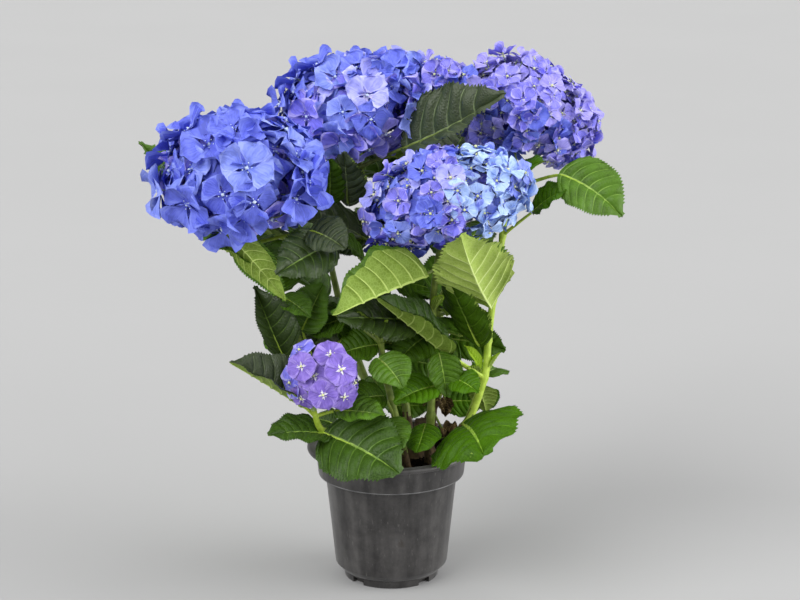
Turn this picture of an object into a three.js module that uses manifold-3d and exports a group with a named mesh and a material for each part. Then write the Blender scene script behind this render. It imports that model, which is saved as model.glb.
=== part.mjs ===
// A hydrangea shrub in bloom, growing in a round nursery pot: pot, root ball, woody base, eight leafy
// canes, a withered shoot, and five round flower heads. Millimetres, +Z up, front towards -Y, origin in
// the middle of the pot's underside.
import * as THREE from "three";
import { mergeVertices } from "three/addons/utils/BufferGeometryUtils.js";
import Module from "manifold-3d";

const wasm = await Module();
wasm.setup();

// Pot
const POT_HEIGHT = 140;
const RIM_RADIUS = 86;
const RIM_THICKNESS = 5;
const RIM_EDGE_ROUND = [1.5, 2];
const COLLAR_TOP_RADIUS = 77;
const COLLAR_FOOT_RADIUS = 74.5;
const COLLAR_FOOT_Z = 110;
const BODY_TOP_RADIUS = 67.5;
const BODY_FOOT_RADIUS = 57.4;
const BODY_FOOT_Z = 15.5;
const CHAMFER_RADIUS = 50.5;
const FOOT_RADIUS = 48;
const FOOT_HEIGHT = 8.5;
const WALL = 1.6;
const FLOOR = 2.4;
const DRAIN_SLOTS = 4;
const DRAIN_WIDTH = 15;
const DRAIN_HEIGHT = 6;
const DRAIN_REACH = 12;
const FIRST_DRAIN_TURN = 45;
const POT_SIDES = 32;

// Root ball and woody base
const SOIL_Z = 128;
const SOIL_FLAT_RADIUS = 56;
const SOIL_EDGE_DROP = 3;
const GROUND_BREADTH = 400;
const BASE_PLACE = [30, 6];
const BASE_LEAN = [6, -4];
const BASE_HEIGHT = 34;
const BASE_FLARE_RADIUS = 21;
const BASE_TOP_RADIUS = 11;
const BASE_SIDES = 9;
const BASE_RINGS = [
  [0, BASE_FLARE_RADIUS],
  [0.18, BASE_FLARE_RADIUS * 0.72],
  [0.5, BASE_TOP_RADIUS * 1.15],
  [1, BASE_TOP_RADIUS],
];

// Clearance between pieces that rest on each other, and the same as a share of a cane's joint
const SEAT = 0.34;
const SEAT_SHARE = 0.011;

// Canes and leaves
const CANE_SIDES = 5;
const CANE_STEPS = 2;
const CANE_FOOT_RADIUS = 4.6;
const CANE_TIP_RADIUS = 2.8;
const PETIOLE_RADIUS = 1.9;
const PETIOLE_SIDES = 3;
const PETIOLE_SHARES = [1.3, 1, 0.6];
const LEAF_THICKNESS = 2.2;
const LEAF_ROWS = [0.19, 0.48, 0.78];
const LEAF_BREADTH = 0.62;
const LEAF_FOLD = 16;
const BLADE_STEPS = 40;

// How leaves find a clear place: the clearance to other pieces, the volume that two leaves of one stem may
// share, the tries at a leaf that shows and at one that doesn't, the tries after which a leaf that shows may
// move the whole way, how far apart two leaves' seeds lie, and the most that a leaf that shows moves
const CLEARANCE = 0.32;
const SHARED_VOLUME = 90;
const SHOWN_TRIES = 400;
const FULL_SHIFT_TRIES = 200;
const UNSEEN_TRIES = 160;
const SEED_STEP = 1000;
const SHOWN_SHIFT = { turn: 14, lift: 12, stalk: 6, swing: 12, rise: 10, roll: 14 };

// A leaf that doesn't show, each number as its least and most: its length, its rise, how far it turns aside,
// its stalk, its droop and its roll. It is at last shorter by the shrink's share.
const UNSEEN = {
  long: [98, 114],
  rise: [6, 40],
  aside: [-45, 45],
  stalk: [16, 38],
  droop: [30, 64],
  roll: [-14, 14],
};
const UNSEEN_SHRINK = 0.35;

// The crown's space for leaves that don't show one by one: its furthest back, its sides from the front as
// [height, left, right] seen from 2.5 m away and 15 degrees up, and a gap through which the sky shows
const REAR_LIMIT = 190;
const EYE = { distance: 2500, x: 9, z: 292, rise: 15 };
const CROWN_SIDES = [
  [130, -80, 88],
  [170, -80, 90],
  [200, -104, 100],
  [280, -124, 100],
  [340, -165, 106],
  [370, -224, 120],
  [400, -240, 160],
  [450, -240, 195],
  [490, -200, 200],
  [540, -60, 130],
];
const SKY_GAP = { left: -58, right: -28, foot: 300, top: 338 };

// Flower heads
const STALK_RADIUS = 3.4;
const CORE_SIDES = 12;
const CORE_RINGS = 7;
const SEPAL_POINTS = [
  [0.8, 0.7],
  [1, 0.94],
];
const SEPALS = 4;
const FLORET_ROOT = 7;
const FLORET_INSET = 0.6;
const SMALLEST_FLORET = 0.9;
const FLORET_SIZE_SPREAD = 0.2;
// The height of a floret's middle as a share of its head's depth
const FLORET_MIDDLE_LIFT = 0.34;
// How far down from the top the florets go, where 2 is all the way round
const HEAD_COVER = 1.62;
const GOLDEN_ANGLE = Math.PI * (3 - Math.sqrt(5));

const degrees = (angle) => (angle * Math.PI) / 180;

// A small repeatable random number from 0 to 1 for the nth of a kind
function chance(n, salt) {
  const x = Math.sin(n * 12.9898 + salt * 78.233) * 43758.5453;
  return x - Math.floor(x);
}

// Each cane is the list of its leaf joints, from the foot to the last joint under its flower head.
// bare counts the joints below the first leaves: that stretch is the bare cane, and the rest is the stem
// of the leaf mass. shown has the leaves that face the front. from is a joint, the turn of the leaf stalk
// (0 right, 90 back, 180 left, -90 front), its lift and its length. The blade swings off that turn, slope
// is its rise and how far it bends down, blade is its length and breadth, roll turns it about its midrib,
// and its halves fold up. unseen has the joint and the turn of each leaf behind those.
const canes = {
  left: {
    joints: [
      [6, -14, SOIL_Z],
      [-34, -22, 176],
      [-76, -30, 232],
      [-108, -36, 292],
      [-126, -38, 338],
      [-138, -42, 366],
    ],
    bare: 0.85,
    shown: [
      { from: [2, -165, 70, 40], swing: 155, slope: [65, 0], blade: [55, 50], roll: -70, fold: 20 },
      { from: [2, -135, 20, 44], swing: -60, slope: [65, -5], blade: [80, 58], roll: 45, fold: 45 },
      { from: [2, 155, 25, 28], slope: [25, 20], blade: [34, 38], roll: 30, fold: 20 },
      { from: [4, -150, -5, 12], swing: 15, slope: [45, 30], blade: [70, 56], roll: 20, fold: 10 },
      { from: [4, -20, 25, 80], swing: -130, slope: [-10, 10], blade: [75, 56], roll: 45, fold: 10 },
      { from: [4.8, -120, 25, 52], swing: 115, slope: [-45, 10], blade: [90, 36], roll: 80, fold: 10 },
      { from: [4.8, -22, 20, 66], swing: -15, slope: [-5, 25], blade: [45, 44], roll: -40, fold: 15 },
      { from: [4.8, 125, 14, 74], swing: 45, slope: [37, -10], blade: [105, 48], roll: 30, fold: 20 },
    ],
    unseen: [[1, 110], [2, 40], [3, 60], [4, 90], [4.8, 95]],
  },
  centre: {
    joints: [
      [20, 28, SOIL_Z],
      [12, 40, 190],
      [0, 52, 260],
      [-12, 62, 330],
      [-24, 72, 386],
      [-34, 80, 418],
    ],
    bare: 0.85,
    shown: [
      { from: [3, -115, -10, 36], swing: -30, slope: [55, 30], blade: [45, 46], roll: 30, fold: 10 },
      { from: [4, -115, -5, 46], swing: 15, slope: [75, 10], blade: [65, 44], roll: 20, fold: 15 },
      { from: [4.3, -130, -15, 56], swing: 45, slope: [75, 10], blade: [55, 40], roll: 20, fold: 15 },
      { from: [4.8, -45, 25, 68], swing: 20, slope: [25, -10], blade: [130, 84], roll: -45, fold: 30 },
    ],
    unseen: [[2, 170], [3, 180], [3.5, 0], [4, -60], [4.8, 70], [4.8, 150]],
  },
  right: {
    joints: [
      [42, -4, 150],
      [73, -20, 164],
      [94, -10, 213],
      [98, -2, 250],
      [103, 8, 290],
      [113, 30, 352],
      [122, 54, 406],
    ],
    bare: 0.85,
    shown: [
      { from: [1, -95, 35, 10], swing: 17, slope: [15, 35], blade: [92, 104], roll: -30, fold: -10 },
      { from: [1, 65, 40, 50], slope: [-45, 25], blade: [40, 36], roll: 10, fold: 10 },
      { from: [2, -140, 35, 56], swing: -10, slope: [40, 0], blade: [110, 64], roll: 20, fold: 40 },
      { from: [2, 90, -10, 16], swing: -25, slope: [10, 30], blade: [40, 40], roll: -10, fold: 10 },
      { from: [3, -125, -10, 16], swing: -20, slope: [60, -5], blade: [90, 60], roll: -10, fold: 10 },
      { from: [4, -105, 0, 30], swing: -18, slope: [40, -20], blade: [145, 84], roll: -25, fold: 25 },
      { from: [5, -30, 40, 44], swing: 5, slope: [50, 30], blade: [45, 46], roll: -30, fold: 10 },
      { from: [5.8, -30, 22, 60], swing: 5, slope: [-12, 35], blade: [80, 64], roll: -40, fold: 10 },
      { from: [5.8, -120, 25, 16], swing: 70, slope: [35, 10], blade: [70, 44], roll: -30, fold: 10 },
    ],
    unseen: [[2, 150], [3, 140], [3, 90], [4, 100], [5, 95], [5.8, 100]],
  },
  front: {
    joints: [
      [38, -28, SOIL_Z],
      [40, -26, 178],
      [41, -24, 228],
      [41, -30, 286],
      [45, -40, 336],
      [49, -48, 362],
    ],
    bare: 0.6,
    shown: [
      { from: [0.7, -105, 35, 22], slope: [-25, 10], blade: [40, 38], roll: -10, fold: -10 },
      { from: [2, -80, -15, 34], swing: -65, slope: [5, 30], blade: [55, 42], roll: 25, fold: 10 },
      { from: [2, -50, -5, 32], slope: [0, 20], blade: [40, 32], roll: -30, fold: 10 },
      { from: [2.3, -75, 15, 26], swing: 15, slope: [-60, 20], blade: [45, 40], roll: 0, fold: 15 },
      { from: [2.8, 65, -50, 14], swing: 145, slope: [-10, 40], blade: [50, 56], roll: 30, fold: 10 },
      { from: [3, -155, -25, 16], swing: 5, slope: [15, 10], blade: [95, 62], roll: 40, fold: 10 },
      { from: [4, -110, 0, 26], swing: -35, slope: [-10, 5], blade: [115, 86], roll: -55, fold: 45 },
    ],
    unseen: [[2, 70], [3, 100], [4, 100]],
  },
  small: {
    joints: [
      [4, -26, SOIL_Z],
      [-36, -42, 166],
      [-66, -84, 180],
      [-76, -96, 206],
    ],
    bare: 1.8,
    shown: [
      { from: [2.1, 0, -30, 8], swing: -155, slope: [19, 25], blade: [66, 54], roll: 15, fold: 10 },
      { from: [2, -90, 5, 6], swing: 55, slope: [-5, 20], blade: [95, 84], roll: -35, fold: 5 },
      { from: [2.75, 170, 40, 14], swing: 20, slope: [35, 5], blade: [87, 66], roll: 20, fold: 40 },
      { from: [2.75, 5, 15, 20], swing: -30, slope: [10, 15], blade: [55, 42], roll: -20, fold: 10 },
    ],
    unseen: [],
  },
  middle: {
    joints: [
      [16, -40, SOIL_Z],
      [6, -46, 176],
      [-4, -50, 222],
      [-10, -52, 262],
    ],
    bare: 0.85,
    shown: [
      { from: [1, -130, 60, 40], swing: -5, slope: [15, 20], blade: [45, 40], roll: 30, fold: 10 },
      { from: [1, -135, 25, 18], swing: 75, slope: [-20, 20], blade: [40, 36], roll: -20, fold: 5 },
      { from: [2, -115, 55, 36], swing: 65, slope: [-15, 30], blade: [45, 44], roll: -20, fold: 10 },
      { from: [2, 160, 75, 38], swing: 35, slope: [0, 20], blade: [40, 46], roll: 30, fold: 10 },
      { from: [3, 165, 20, 48], swing: 30, slope: [-10, 20], blade: [45, 48], roll: 30, fold: 10 },
    ],
    unseen: [[3, 120]],
  },
  back: {
    joints: [
      [40, 34, SOIL_Z],
      [46, 62, 190],
      [50, 88, 252],
      [50, 112, 316],
      [46, 128, 372],
    ],
    bare: 0.85,
    shown: [],
    unseen: [[1, 80], [2, -30], [2, 60], [3, 20], [3, 100], [3, -60], [4, 60], [4, 140]],
  },
  rear: {
    joints: [
      [4, 26, SOIL_Z],
      [-24, 56, 184],
      [-48, 84, 244],
      [-64, 104, 306],
      [-72, 112, 356],
    ],
    bare: 0.85,
    shown: [],
    unseen: [[1, 120], [2, 120], [2, -140], [3, 90], [3, -170], [3, -130], [4, 120], [4, -160]],
  },
  dry: {
    joints: [
      [38, 3, 166],
      [46, -4, 186],
      [52, -7, 204],
    ],
    bare: 0,
    shown: [
      { from: [0.5, -65, -30, 28], swing: 25, slope: [0, 20], blade: [25, 24], roll: -20, fold: 35 },
      { from: [1.5, -80, -20, 8], swing: -65, slope: [-10, 20], blade: [20, 16], roll: 10, fold: 45 },
      { from: [1.8, -70, -30, 12], swing: -20, slope: [-60, 10], blade: [20, 20], roll: 10, fold: 45 },
    ],
    unseen: [],
  },
};

// Each flower head fills an ellipsoid over the last joint of its cane. lean tips its axis to the right
// and to the front. size is how far a sepal reaches from its floret's middle, and the core that the
// florets stand on is smaller than the ellipsoid by depth.
const heads = {
  left: { centre: [-148, -46, 431], radii: [93, 84, 70], lean: [-6, 6], florets: 27, size: 29, depth: 17 },
  centre: { centre: [-43, 86, 475], radii: [90, 80, 60], lean: [-8, 4], florets: 26, size: 27, depth: 16 },
  right: { centre: [130, 90, 471], radii: [88, 76, 60], lean: [22, 0], florets: 34, size: 23, depth: 12 },
  front: { centre: [53, -50, 407], radii: [97, 60, 54], lean: [-15, 10], florets: 33, size: 22, depth: 12 },
  small: { centre: [-66, -100, 240], radii: [38, 36, 32], lean: [4, 30], florets: 9, size: 19, depth: 9 },
};

function geometryOf(vertices, faces) {
  const geometry = new THREE.BufferGeometry();
  const positions = vertices.flatMap((v) => v.toArray());
  geometry.setAttribute("position", new THREE.Float32BufferAttribute(positions, 3));
  geometry.setIndex(faces.flat());
  return geometry;
}

// A closed geometry as a solid, turned right side out if its profile ran the other way round
function solidOf(geometry) {
  const bare = geometry.clone();
  bare.deleteAttribute("normal");
  bare.deleteAttribute("uv");
  const merged = mergeVertices(bare, 1e-3);
  const vertProperties = new Float32Array(merged.attributes.position.array);
  const make = (triVerts) => new wasm.Manifold(new wasm.Mesh({ numProp: 3, vertProperties, triVerts }));
  const corners = [...merged.index.array];
  const faces = [];
  for (let i = 0; i < corners.length; i += 3) {
    const [a, b, c] = corners.slice(i, i + 3);
    if (a !== b && b !== c && c !== a) faces.push(a, b, c);
  }
  const made = make(new Uint32Array(faces));
  return made.volume() > 0 ? made : make(new Uint32Array(faces.reverse()));
}

const union = (solids) => solids.reduce((whole, next) => whole.add(next));

// The largest body of a solid, without the loose scraps that a cut leaves
function largest(solid) {
  return solid.decompose().reduce((a, b) => (a.volume() > b.volume() ? a : b));
}

function meshOf(name, solid, material) {
  const { numProp, vertProperties, triVerts } = solid.getMesh();
  const positions = new Float32Array((vertProperties.length / numProp) * 3);
  for (let i = 0; i < positions.length / 3; i++)
    positions.set(vertProperties.subarray(i * numProp, i * numProp + 3), i * 3);
  const geometry = new THREE.BufferGeometry();
  geometry.setAttribute("position", new THREE.BufferAttribute(positions, 3));
  geometry.setIndex(new THREE.BufferAttribute(new Uint32Array(triVerts), 1));
  geometry.computeVertexNormals();
  const mesh = new THREE.Mesh(geometry, material);
  mesh.name = name;
  return mesh;
}

// A solid of revolution about +Z from [radius, height] points
function turned(profile, sides) {
  const points = profile.map(([r, z]) => new THREE.Vector2(r, z));
  return solidOf(new THREE.LatheGeometry(points, sides).rotateX(Math.PI / 2));
}

// A round limb through points, one radius for each. Its ends are flat, square to the directions given
function limb(points, radii, sides, ends = []) {
  const vertices = [];
  const faces = [];
  const rings = points.length;
  let side = new THREE.Vector3();
  points.forEach((point, i) => {
    const onwards = points[Math.min(i + 1, rings - 1)].clone().sub(points[Math.max(i - 1, 0)]);
    const given = i === 0 ? ends[0] : i === rings - 1 ? ends[1] : undefined;
    const ahead = (given ?? onwards).clone().normalize();
    if (i === 0) side = new THREE.Vector3(-ahead.y, ahead.x, 0.01).normalize();
    side.addScaledVector(ahead, -side.dot(ahead)).normalize();
    const other = ahead.clone().cross(side);
    for (let k = 0; k < sides; k++) {
      const angle = (2 * Math.PI * k) / sides;
      const rim = point.clone().addScaledVector(side, radii[i] * Math.cos(angle));
      vertices.push(rim.addScaledVector(other, radii[i] * Math.sin(angle)));
    }
  });
  for (let i = 0; i < rings - 1; i++)
    for (let k = 0; k < sides; k++) {
      const [a, b] = [i * sides + k, i * sides + ((k + 1) % sides)];
      faces.push([a, b, b + sides], [a, b + sides, a + sides]);
    }
  for (let k = 1; k < sides - 1; k++) {
    const end = (rings - 1) * sides;
    faces.push([0, k + 1, k], [end, end + k, end + k + 1]);
  }
  return solidOf(geometryOf(vertices, faces));
}

// Pot
function makePot() {
  const collarIn = COLLAR_TOP_RADIUS - WALL;
  const rimZ = POT_HEIGHT - RIM_THICKNESS;
  const [roundIn, roundUp] = RIM_EDGE_ROUND;
  const shell = turned(
    [
      [0, 0],
      [FOOT_RADIUS, 0],
      [FOOT_RADIUS, FOOT_HEIGHT],
      [CHAMFER_RADIUS, FOOT_HEIGHT],
      [BODY_FOOT_RADIUS, BODY_FOOT_Z],
      [BODY_TOP_RADIUS, COLLAR_FOOT_Z],
      [COLLAR_FOOT_RADIUS, COLLAR_FOOT_Z],
      [COLLAR_TOP_RADIUS, rimZ],
      [RIM_RADIUS - roundIn, rimZ],
      [RIM_RADIUS, rimZ + roundUp],
      [RIM_RADIUS - roundIn, POT_HEIGHT],
      [collarIn + roundIn, POT_HEIGHT],
      [collarIn, POT_HEIGHT - roundUp],
      [COLLAR_FOOT_RADIUS - WALL, COLLAR_FOOT_Z + WALL],
      [BODY_TOP_RADIUS - WALL, COLLAR_FOOT_Z + WALL],
      [BODY_FOOT_RADIUS - WALL, BODY_FOOT_Z + WALL / 2],
      [CHAMFER_RADIUS - WALL, FOOT_HEIGHT + WALL],
      [FOOT_RADIUS - WALL, FLOOR],
      [0, FLOOR],
    ],
    POT_SIDES,
  );
  const slots = [];
  for (let k = 0; k < DRAIN_SLOTS; k++) {
    const slot = new THREE.BoxGeometry(DRAIN_REACH, DRAIN_WIDTH, DRAIN_HEIGHT * 2)
      .translate(FOOT_RADIUS, 0, 0)
      .rotateZ(degrees(FIRST_DRAIN_TURN + (360 / DRAIN_SLOTS) * k));
    slots.push(solidOf(slot));
  }
  return shell.subtract(union(slots));
}

// The root ball: a filled pot's soil, from its drain slots up to a flat top that falls a little to the wall
function makeSoil() {
  const edgeZ = SOIL_Z - SOIL_EDGE_DROP;
  const inwards = WALL + 2 * SEAT;
  const footZ = DRAIN_HEIGHT + SEAT;
  const collarShare = (edgeZ - COLLAR_FOOT_Z) / (POT_HEIGHT - RIM_THICKNESS - COLLAR_FOOT_Z);
  const edgeRadius = THREE.MathUtils.lerp(COLLAR_FOOT_RADIUS, COLLAR_TOP_RADIUS, collarShare);
  return turned(
    [
      [0, footZ],
      [FOOT_RADIUS - inwards, footZ],
      [FOOT_RADIUS - inwards, FOOT_HEIGHT + 2],
      [BODY_FOOT_RADIUS - inwards - 1, BODY_FOOT_Z + 2],
      [BODY_TOP_RADIUS - inwards, COLLAR_FOOT_Z + WALL + SEAT],
      [COLLAR_FOOT_RADIUS - inwards, COLLAR_FOOT_Z + WALL + SEAT],
      [edgeRadius - inwards, edgeZ],
      [SOIL_FLAT_RADIUS, SOIL_Z],
      [0, SOIL_Z],
    ],
    POT_SIDES,
  );
}

// A broad block whose top is at a height, for cutting off what would go below it
function groundBelow(z) {
  const block = new THREE.BoxGeometry(GROUND_BREADTH, GROUND_BREADTH, GROUND_BREADTH);
  return solidOf(block.translate(0, 0, z - GROUND_BREADTH / 2));
}

// The stump that the canes spring from; grow makes it fatter, for cutting canes clear of it
function makeWoodyBase(grow = 0) {
  const [x, y] = BASE_PLACE;
  const points = BASE_RINGS.map(([share]) => {
    const height = share * (BASE_HEIGHT + grow) - grow;
    return new THREE.Vector3(x + share * BASE_LEAN[0], y + share * BASE_LEAN[1], SOIL_Z + SEAT + height);
  });
  const rings = limb(points, BASE_RINGS.map(([, radius]) => radius + grow), BASE_SIDES);
  return rings.subtract(groundBelow(SOIL_Z + SEAT - grow));
}

// Canes, with joints as the curve's points
function caneCurve(cane) {
  const points = cane.joints.map((p) => new THREE.Vector3(...p));
  return new THREE.CatmullRomCurve3(points, false, "catmullrom", 0.5);
}

// The place and the direction at joint number at, which may lie between two joints
const placeOn = (cane, at) => caneCurve(cane).getPoint(at / (cane.joints.length - 1));
const directionOn = (cane, at) => caneCurve(cane).getTangent(at / (cane.joints.length - 1));

function caneStretch(cane, from, to) {
  const steps = Math.max(2, Math.round((to - from) * CANE_STEPS));
  const last = cane.joints.length - 1;
  const points = [];
  const radii = [];
  for (let i = 0; i <= steps; i++) {
    const at = from + ((to - from) * i) / steps;
    points.push(placeOn(cane, at));
    radii.push(THREE.MathUtils.lerp(CANE_FOOT_RADIUS, CANE_TIP_RADIUS, at / last));
  }
  return limb(points, radii, CANE_SIDES, [directionOn(cane, from), directionOn(cane, to)]);
}

function makeBareCane(cane) {
  const stretch = caneStretch(cane, 0, cane.bare - SEAT_SHARE);
  return largest(stretch.subtract(groundBelow(SOIL_Z + SEAT)).subtract(makeWoodyBase(SEAT)));
}

// Half of the blade's width at share s of its length, as a share of the widest
const bladeHalf = (s) => 0.5 * Math.pow(Math.sin(Math.PI * Math.pow(s, 0.85)), 0.8);

// The direction at a compass turn and a slope, both in degrees
function heading(turn, slope) {
  const [t, s] = [degrees(turn), degrees(slope)];
  return new THREE.Vector3(Math.cos(t) * Math.cos(s), Math.sin(t) * Math.cos(s), Math.sin(s));
}

// The blade's midrib points with its side and upward directions, at shares of its length
function bladeFrames(leaf, start, shares) {
  const turn = leaf.turn + leaf.swing;
  const level = new THREE.Vector3(Math.sin(degrees(turn)), -Math.cos(degrees(turn)), 0);
  const roll = degrees(leaf.roll);
  const place = start.clone();
  const frames = [];
  let done = 0;
  for (const share of shares) {
    while (done < Math.round(share * BLADE_STEPS)) {
      const slope = leaf.rise - (leaf.droop * (done + 0.5)) / BLADE_STEPS;
      place.addScaledVector(heading(turn, slope), leaf.long / BLADE_STEPS);
      done++;
    }
    const ahead = heading(turn, leaf.rise - leaf.droop * share);
    const up = level.clone().cross(ahead);
    const right = level.clone().multiplyScalar(Math.cos(roll)).addScaledVector(up, Math.sin(roll));
    const normal = right.clone().cross(ahead);
    frames.push({ place: place.clone(), right, normal });
  }
  return frames;
}

// A thin blade with a midrib on both faces, its halves folded up about it
function makeBlade(leaf, start) {
  const shares = [0, ...LEAF_ROWS, 1];
  const frames = bladeFrames(leaf, start, shares);
  const fold = degrees(leaf.fold);
  const vertices = [frames[0].place];
  for (let i = 1; i <= LEAF_ROWS.length; i++) {
    const { place, right, normal } = frames[i];
    const half = leaf.wide * bladeHalf(shares[i]);
    const point = (across, raised) =>
      place.clone().addScaledVector(right, across).addScaledVector(normal, raised);
    vertices.push(point(-half * Math.cos(fold), half * Math.sin(fold)));
    vertices.push(point(0, LEAF_THICKNESS / 2));
    vertices.push(point(half * Math.cos(fold), half * Math.sin(fold)));
    vertices.push(point(0, -LEAF_THICKNESS / 2));
  }
  vertices.push(frames[frames.length - 1].place);
  const tip = vertices.length - 1;
  const faces = [];
  for (let k = 0; k < 4; k++) {
    const next = (k + 1) % 4;
    faces.push([0, 1 + k, 1 + next]);
    for (let a = 1; a < tip - 4; a += 4) {
      faces.push([a + k, a + 4 + k, a + 4 + next]);
      faces.push([a + k, a + 4 + next, a + next]);
    }
    faces.push([tip - 4 + k, tip, tip - 4 + next]);
  }
  return solidOf(geometryOf(vertices, faces));
}

// One leaf: a three-sided leaf stalk sunk in the stem, and its blade
function makeLeaf(cane, leaf) {
  const root = placeOn(cane, leaf.at);
  const start = root.clone().addScaledVector(heading(leaf.turn, leaf.lift), leaf.stalk);
  const [, inner] = bladeFrames(leaf, start, [0, LEAF_ROWS[0]]);
  const radii = PETIOLE_SHARES.map((share) => PETIOLE_RADIUS * share);
  return limb([root, start, inner.place], radii, PETIOLE_SIDES).add(makeBlade(leaf, start));
}

// The nth try at a leaf that shows: as listed at first, then moved by chance, a little further each time
function shownLeaf(row, seed, n) {
  const [at, turn, lift, stalk] = row.from;
  const leaf = { at, turn, lift, stalk, swing: row.swing ?? 0, rise: row.slope[0], roll: row.roll };
  const reach = Math.min(1, n / FULL_SHIFT_TRIES);
  Object.entries(SHOWN_SHIFT).forEach(([key, most], k) => {
    leaf[key] += most * reach * (2 * chance(seed + n, k + 1) - 1);
  });
  return { ...leaf, droop: row.slope[1], long: row.blade[0], wide: row.blade[1], fold: row.fold };
}

// The nth try at a leaf that doesn't show, smaller the more tries have failed
function unseenLeaf([at, turn], seed, n) {
  const pick = ([low, high], salt) => THREE.MathUtils.lerp(low, high, chance(seed + n, salt));
  const long = pick(UNSEEN.long, 1) * (1 - (UNSEEN_SHRINK * n) / UNSEEN_TRIES);
  const rise = pick(UNSEEN.rise, 2);
  const stalk = pick(UNSEEN.stalk, 4);
  const leaf = { at, turn: turn + pick(UNSEEN.aside, 3), lift: rise, stalk, swing: 0, rise };
  const shape = { droop: pick(UNSEEN.droop, 5), long, wide: long * LEAF_BREADTH, roll: pick(UNSEEN.roll, 6) };
  return { ...leaf, ...shape, fold: LEAF_FOLD };
}

// Whether a point is inside the crown as it shows from the front, and off the gap in it
function insideCrown(point) {
  const [rise, fall] = [Math.sin(degrees(EYE.rise)), Math.cos(degrees(EYE.rise))];
  const depth = EYE.distance + point.y * fall - (point.z - EYE.z) * rise;
  const scale = EYE.distance / depth;
  const x = EYE.x + (point.x - EYE.x) * scale;
  const z = EYE.z + (point.y * rise + (point.z - EYE.z) * fall) * (scale / fall);
  if (x > SKY_GAP.left && x < SKY_GAP.right && z > SKY_GAP.foot && z < SKY_GAP.top) return false;
  const above = CROWN_SIDES.findIndex(([height]) => height > z);
  if (above < 1 || point.y > REAR_LIMIT) return false;
  const [[low, lowLeft, lowRight], [high, highLeft, highRight]] = CROWN_SIDES.slice(above - 1, above + 1);
  const share = (z - low) / (high - low);
  const { lerp } = THREE.MathUtils;
  return x > lerp(lowLeft, highLeft, share) && x < lerp(lowRight, highRight, share);
}

function cornersOf(solid) {
  const { numProp, vertProperties } = solid.getMesh();
  const corners = [];
  for (let i = 0; i < vertProperties.length; i += numProp)
    corners.push(new THREE.Vector3(...vertProperties.subarray(i, i + 3)));
  return corners;
}

// What already stands where, as solids with their bounding boxes and the name of the plant's piece
const standing = [];

function stand(owner, solid, isLeaf = false) {
  standing.push({ owner, solid, isLeaf, box: solid.boundingBox() });
}

// Whether a leaf of a mass is clear of all that stands: of its own mass, only other leaves count
function isClear(owner, solid) {
  const box = solid.boundingBox();
  const apart = (other) =>
    [0, 1, 2].some((k) => box.min[k] > other.max[k] + CLEARANCE || other.min[k] > box.max[k] + CLEARANCE);
  return standing.every((piece) => {
    if (apart(piece.box)) return true;
    if (piece.owner !== owner) return piece.solid.minGap(solid, 2 * CLEARANCE) >= CLEARANCE;
    return !piece.isLeaf || piece.solid.intersect(solid).volume() < SHARED_VOLUME;
  });
}

// The first try at a leaf that is clear, or nothing where none is
function settledLeaf(name, tries, tryAt, isAllowed) {
  for (let n = 0; n < tries; n++) {
    const solid = makeLeaf(canes[name], tryAt(n));
    if (!isAllowed(solid) || !isClear(name, solid)) continue;
    stand(name, solid, true);
    return solid;
  }
  return undefined;
}

// All the leaves, those that show first: a list of solids for each cane
function growLeaves() {
  const grown = Object.fromEntries(Object.keys(canes).map((name) => [name, []]));
  let seed = 0;
  for (const [name, cane] of Object.entries(canes))
    for (const row of cane.shown) {
      seed += SEED_STEP;
      grown[name].push(settledLeaf(name, SHOWN_TRIES, (n) => shownLeaf(row, seed, n), () => true));
    }
  const allInside = (solid) => cornersOf(solid).every(insideCrown);
  for (const [name, cane] of Object.entries(canes))
    for (const place of cane.unseen) {
      seed += SEED_STEP;
      grown[name].push(settledLeaf(name, UNSEEN_TRIES, (n) => unseenLeaf(place, seed, n), allInside));
    }
  return grown;
}

// The turn that tips a flower head's axis: lean to the right about +Y, lean to the front about +X
function headTurn(head) {
  const [right, front] = head.lean;
  return new THREE.Euler(degrees(front), degrees(right), 0);
}

// A point of the head's ellipsoid, or of one a share of its size, from a direction in its own frame
function headPoint(head, direction, inset = 0) {
  return new THREE.Vector3(...head.centre).add(
    new THREE.Vector3(...head.radii)
      .subScalar(inset)
      .multiply(direction)
      .applyEuler(headTurn(head)),
  );
}

function makeCore(head) {
  const core = new THREE.SphereGeometry(1, CORE_SIDES, CORE_RINGS).rotateX(Math.PI / 2);
  const [x, y, z] = head.radii.map((r) => r - head.depth);
  core.scale(x, y, z);
  core.rotateX(degrees(head.lean[1]));
  core.rotateY(degrees(head.lean[0]));
  return solidOf(core.translate(...head.centre));
}

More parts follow.
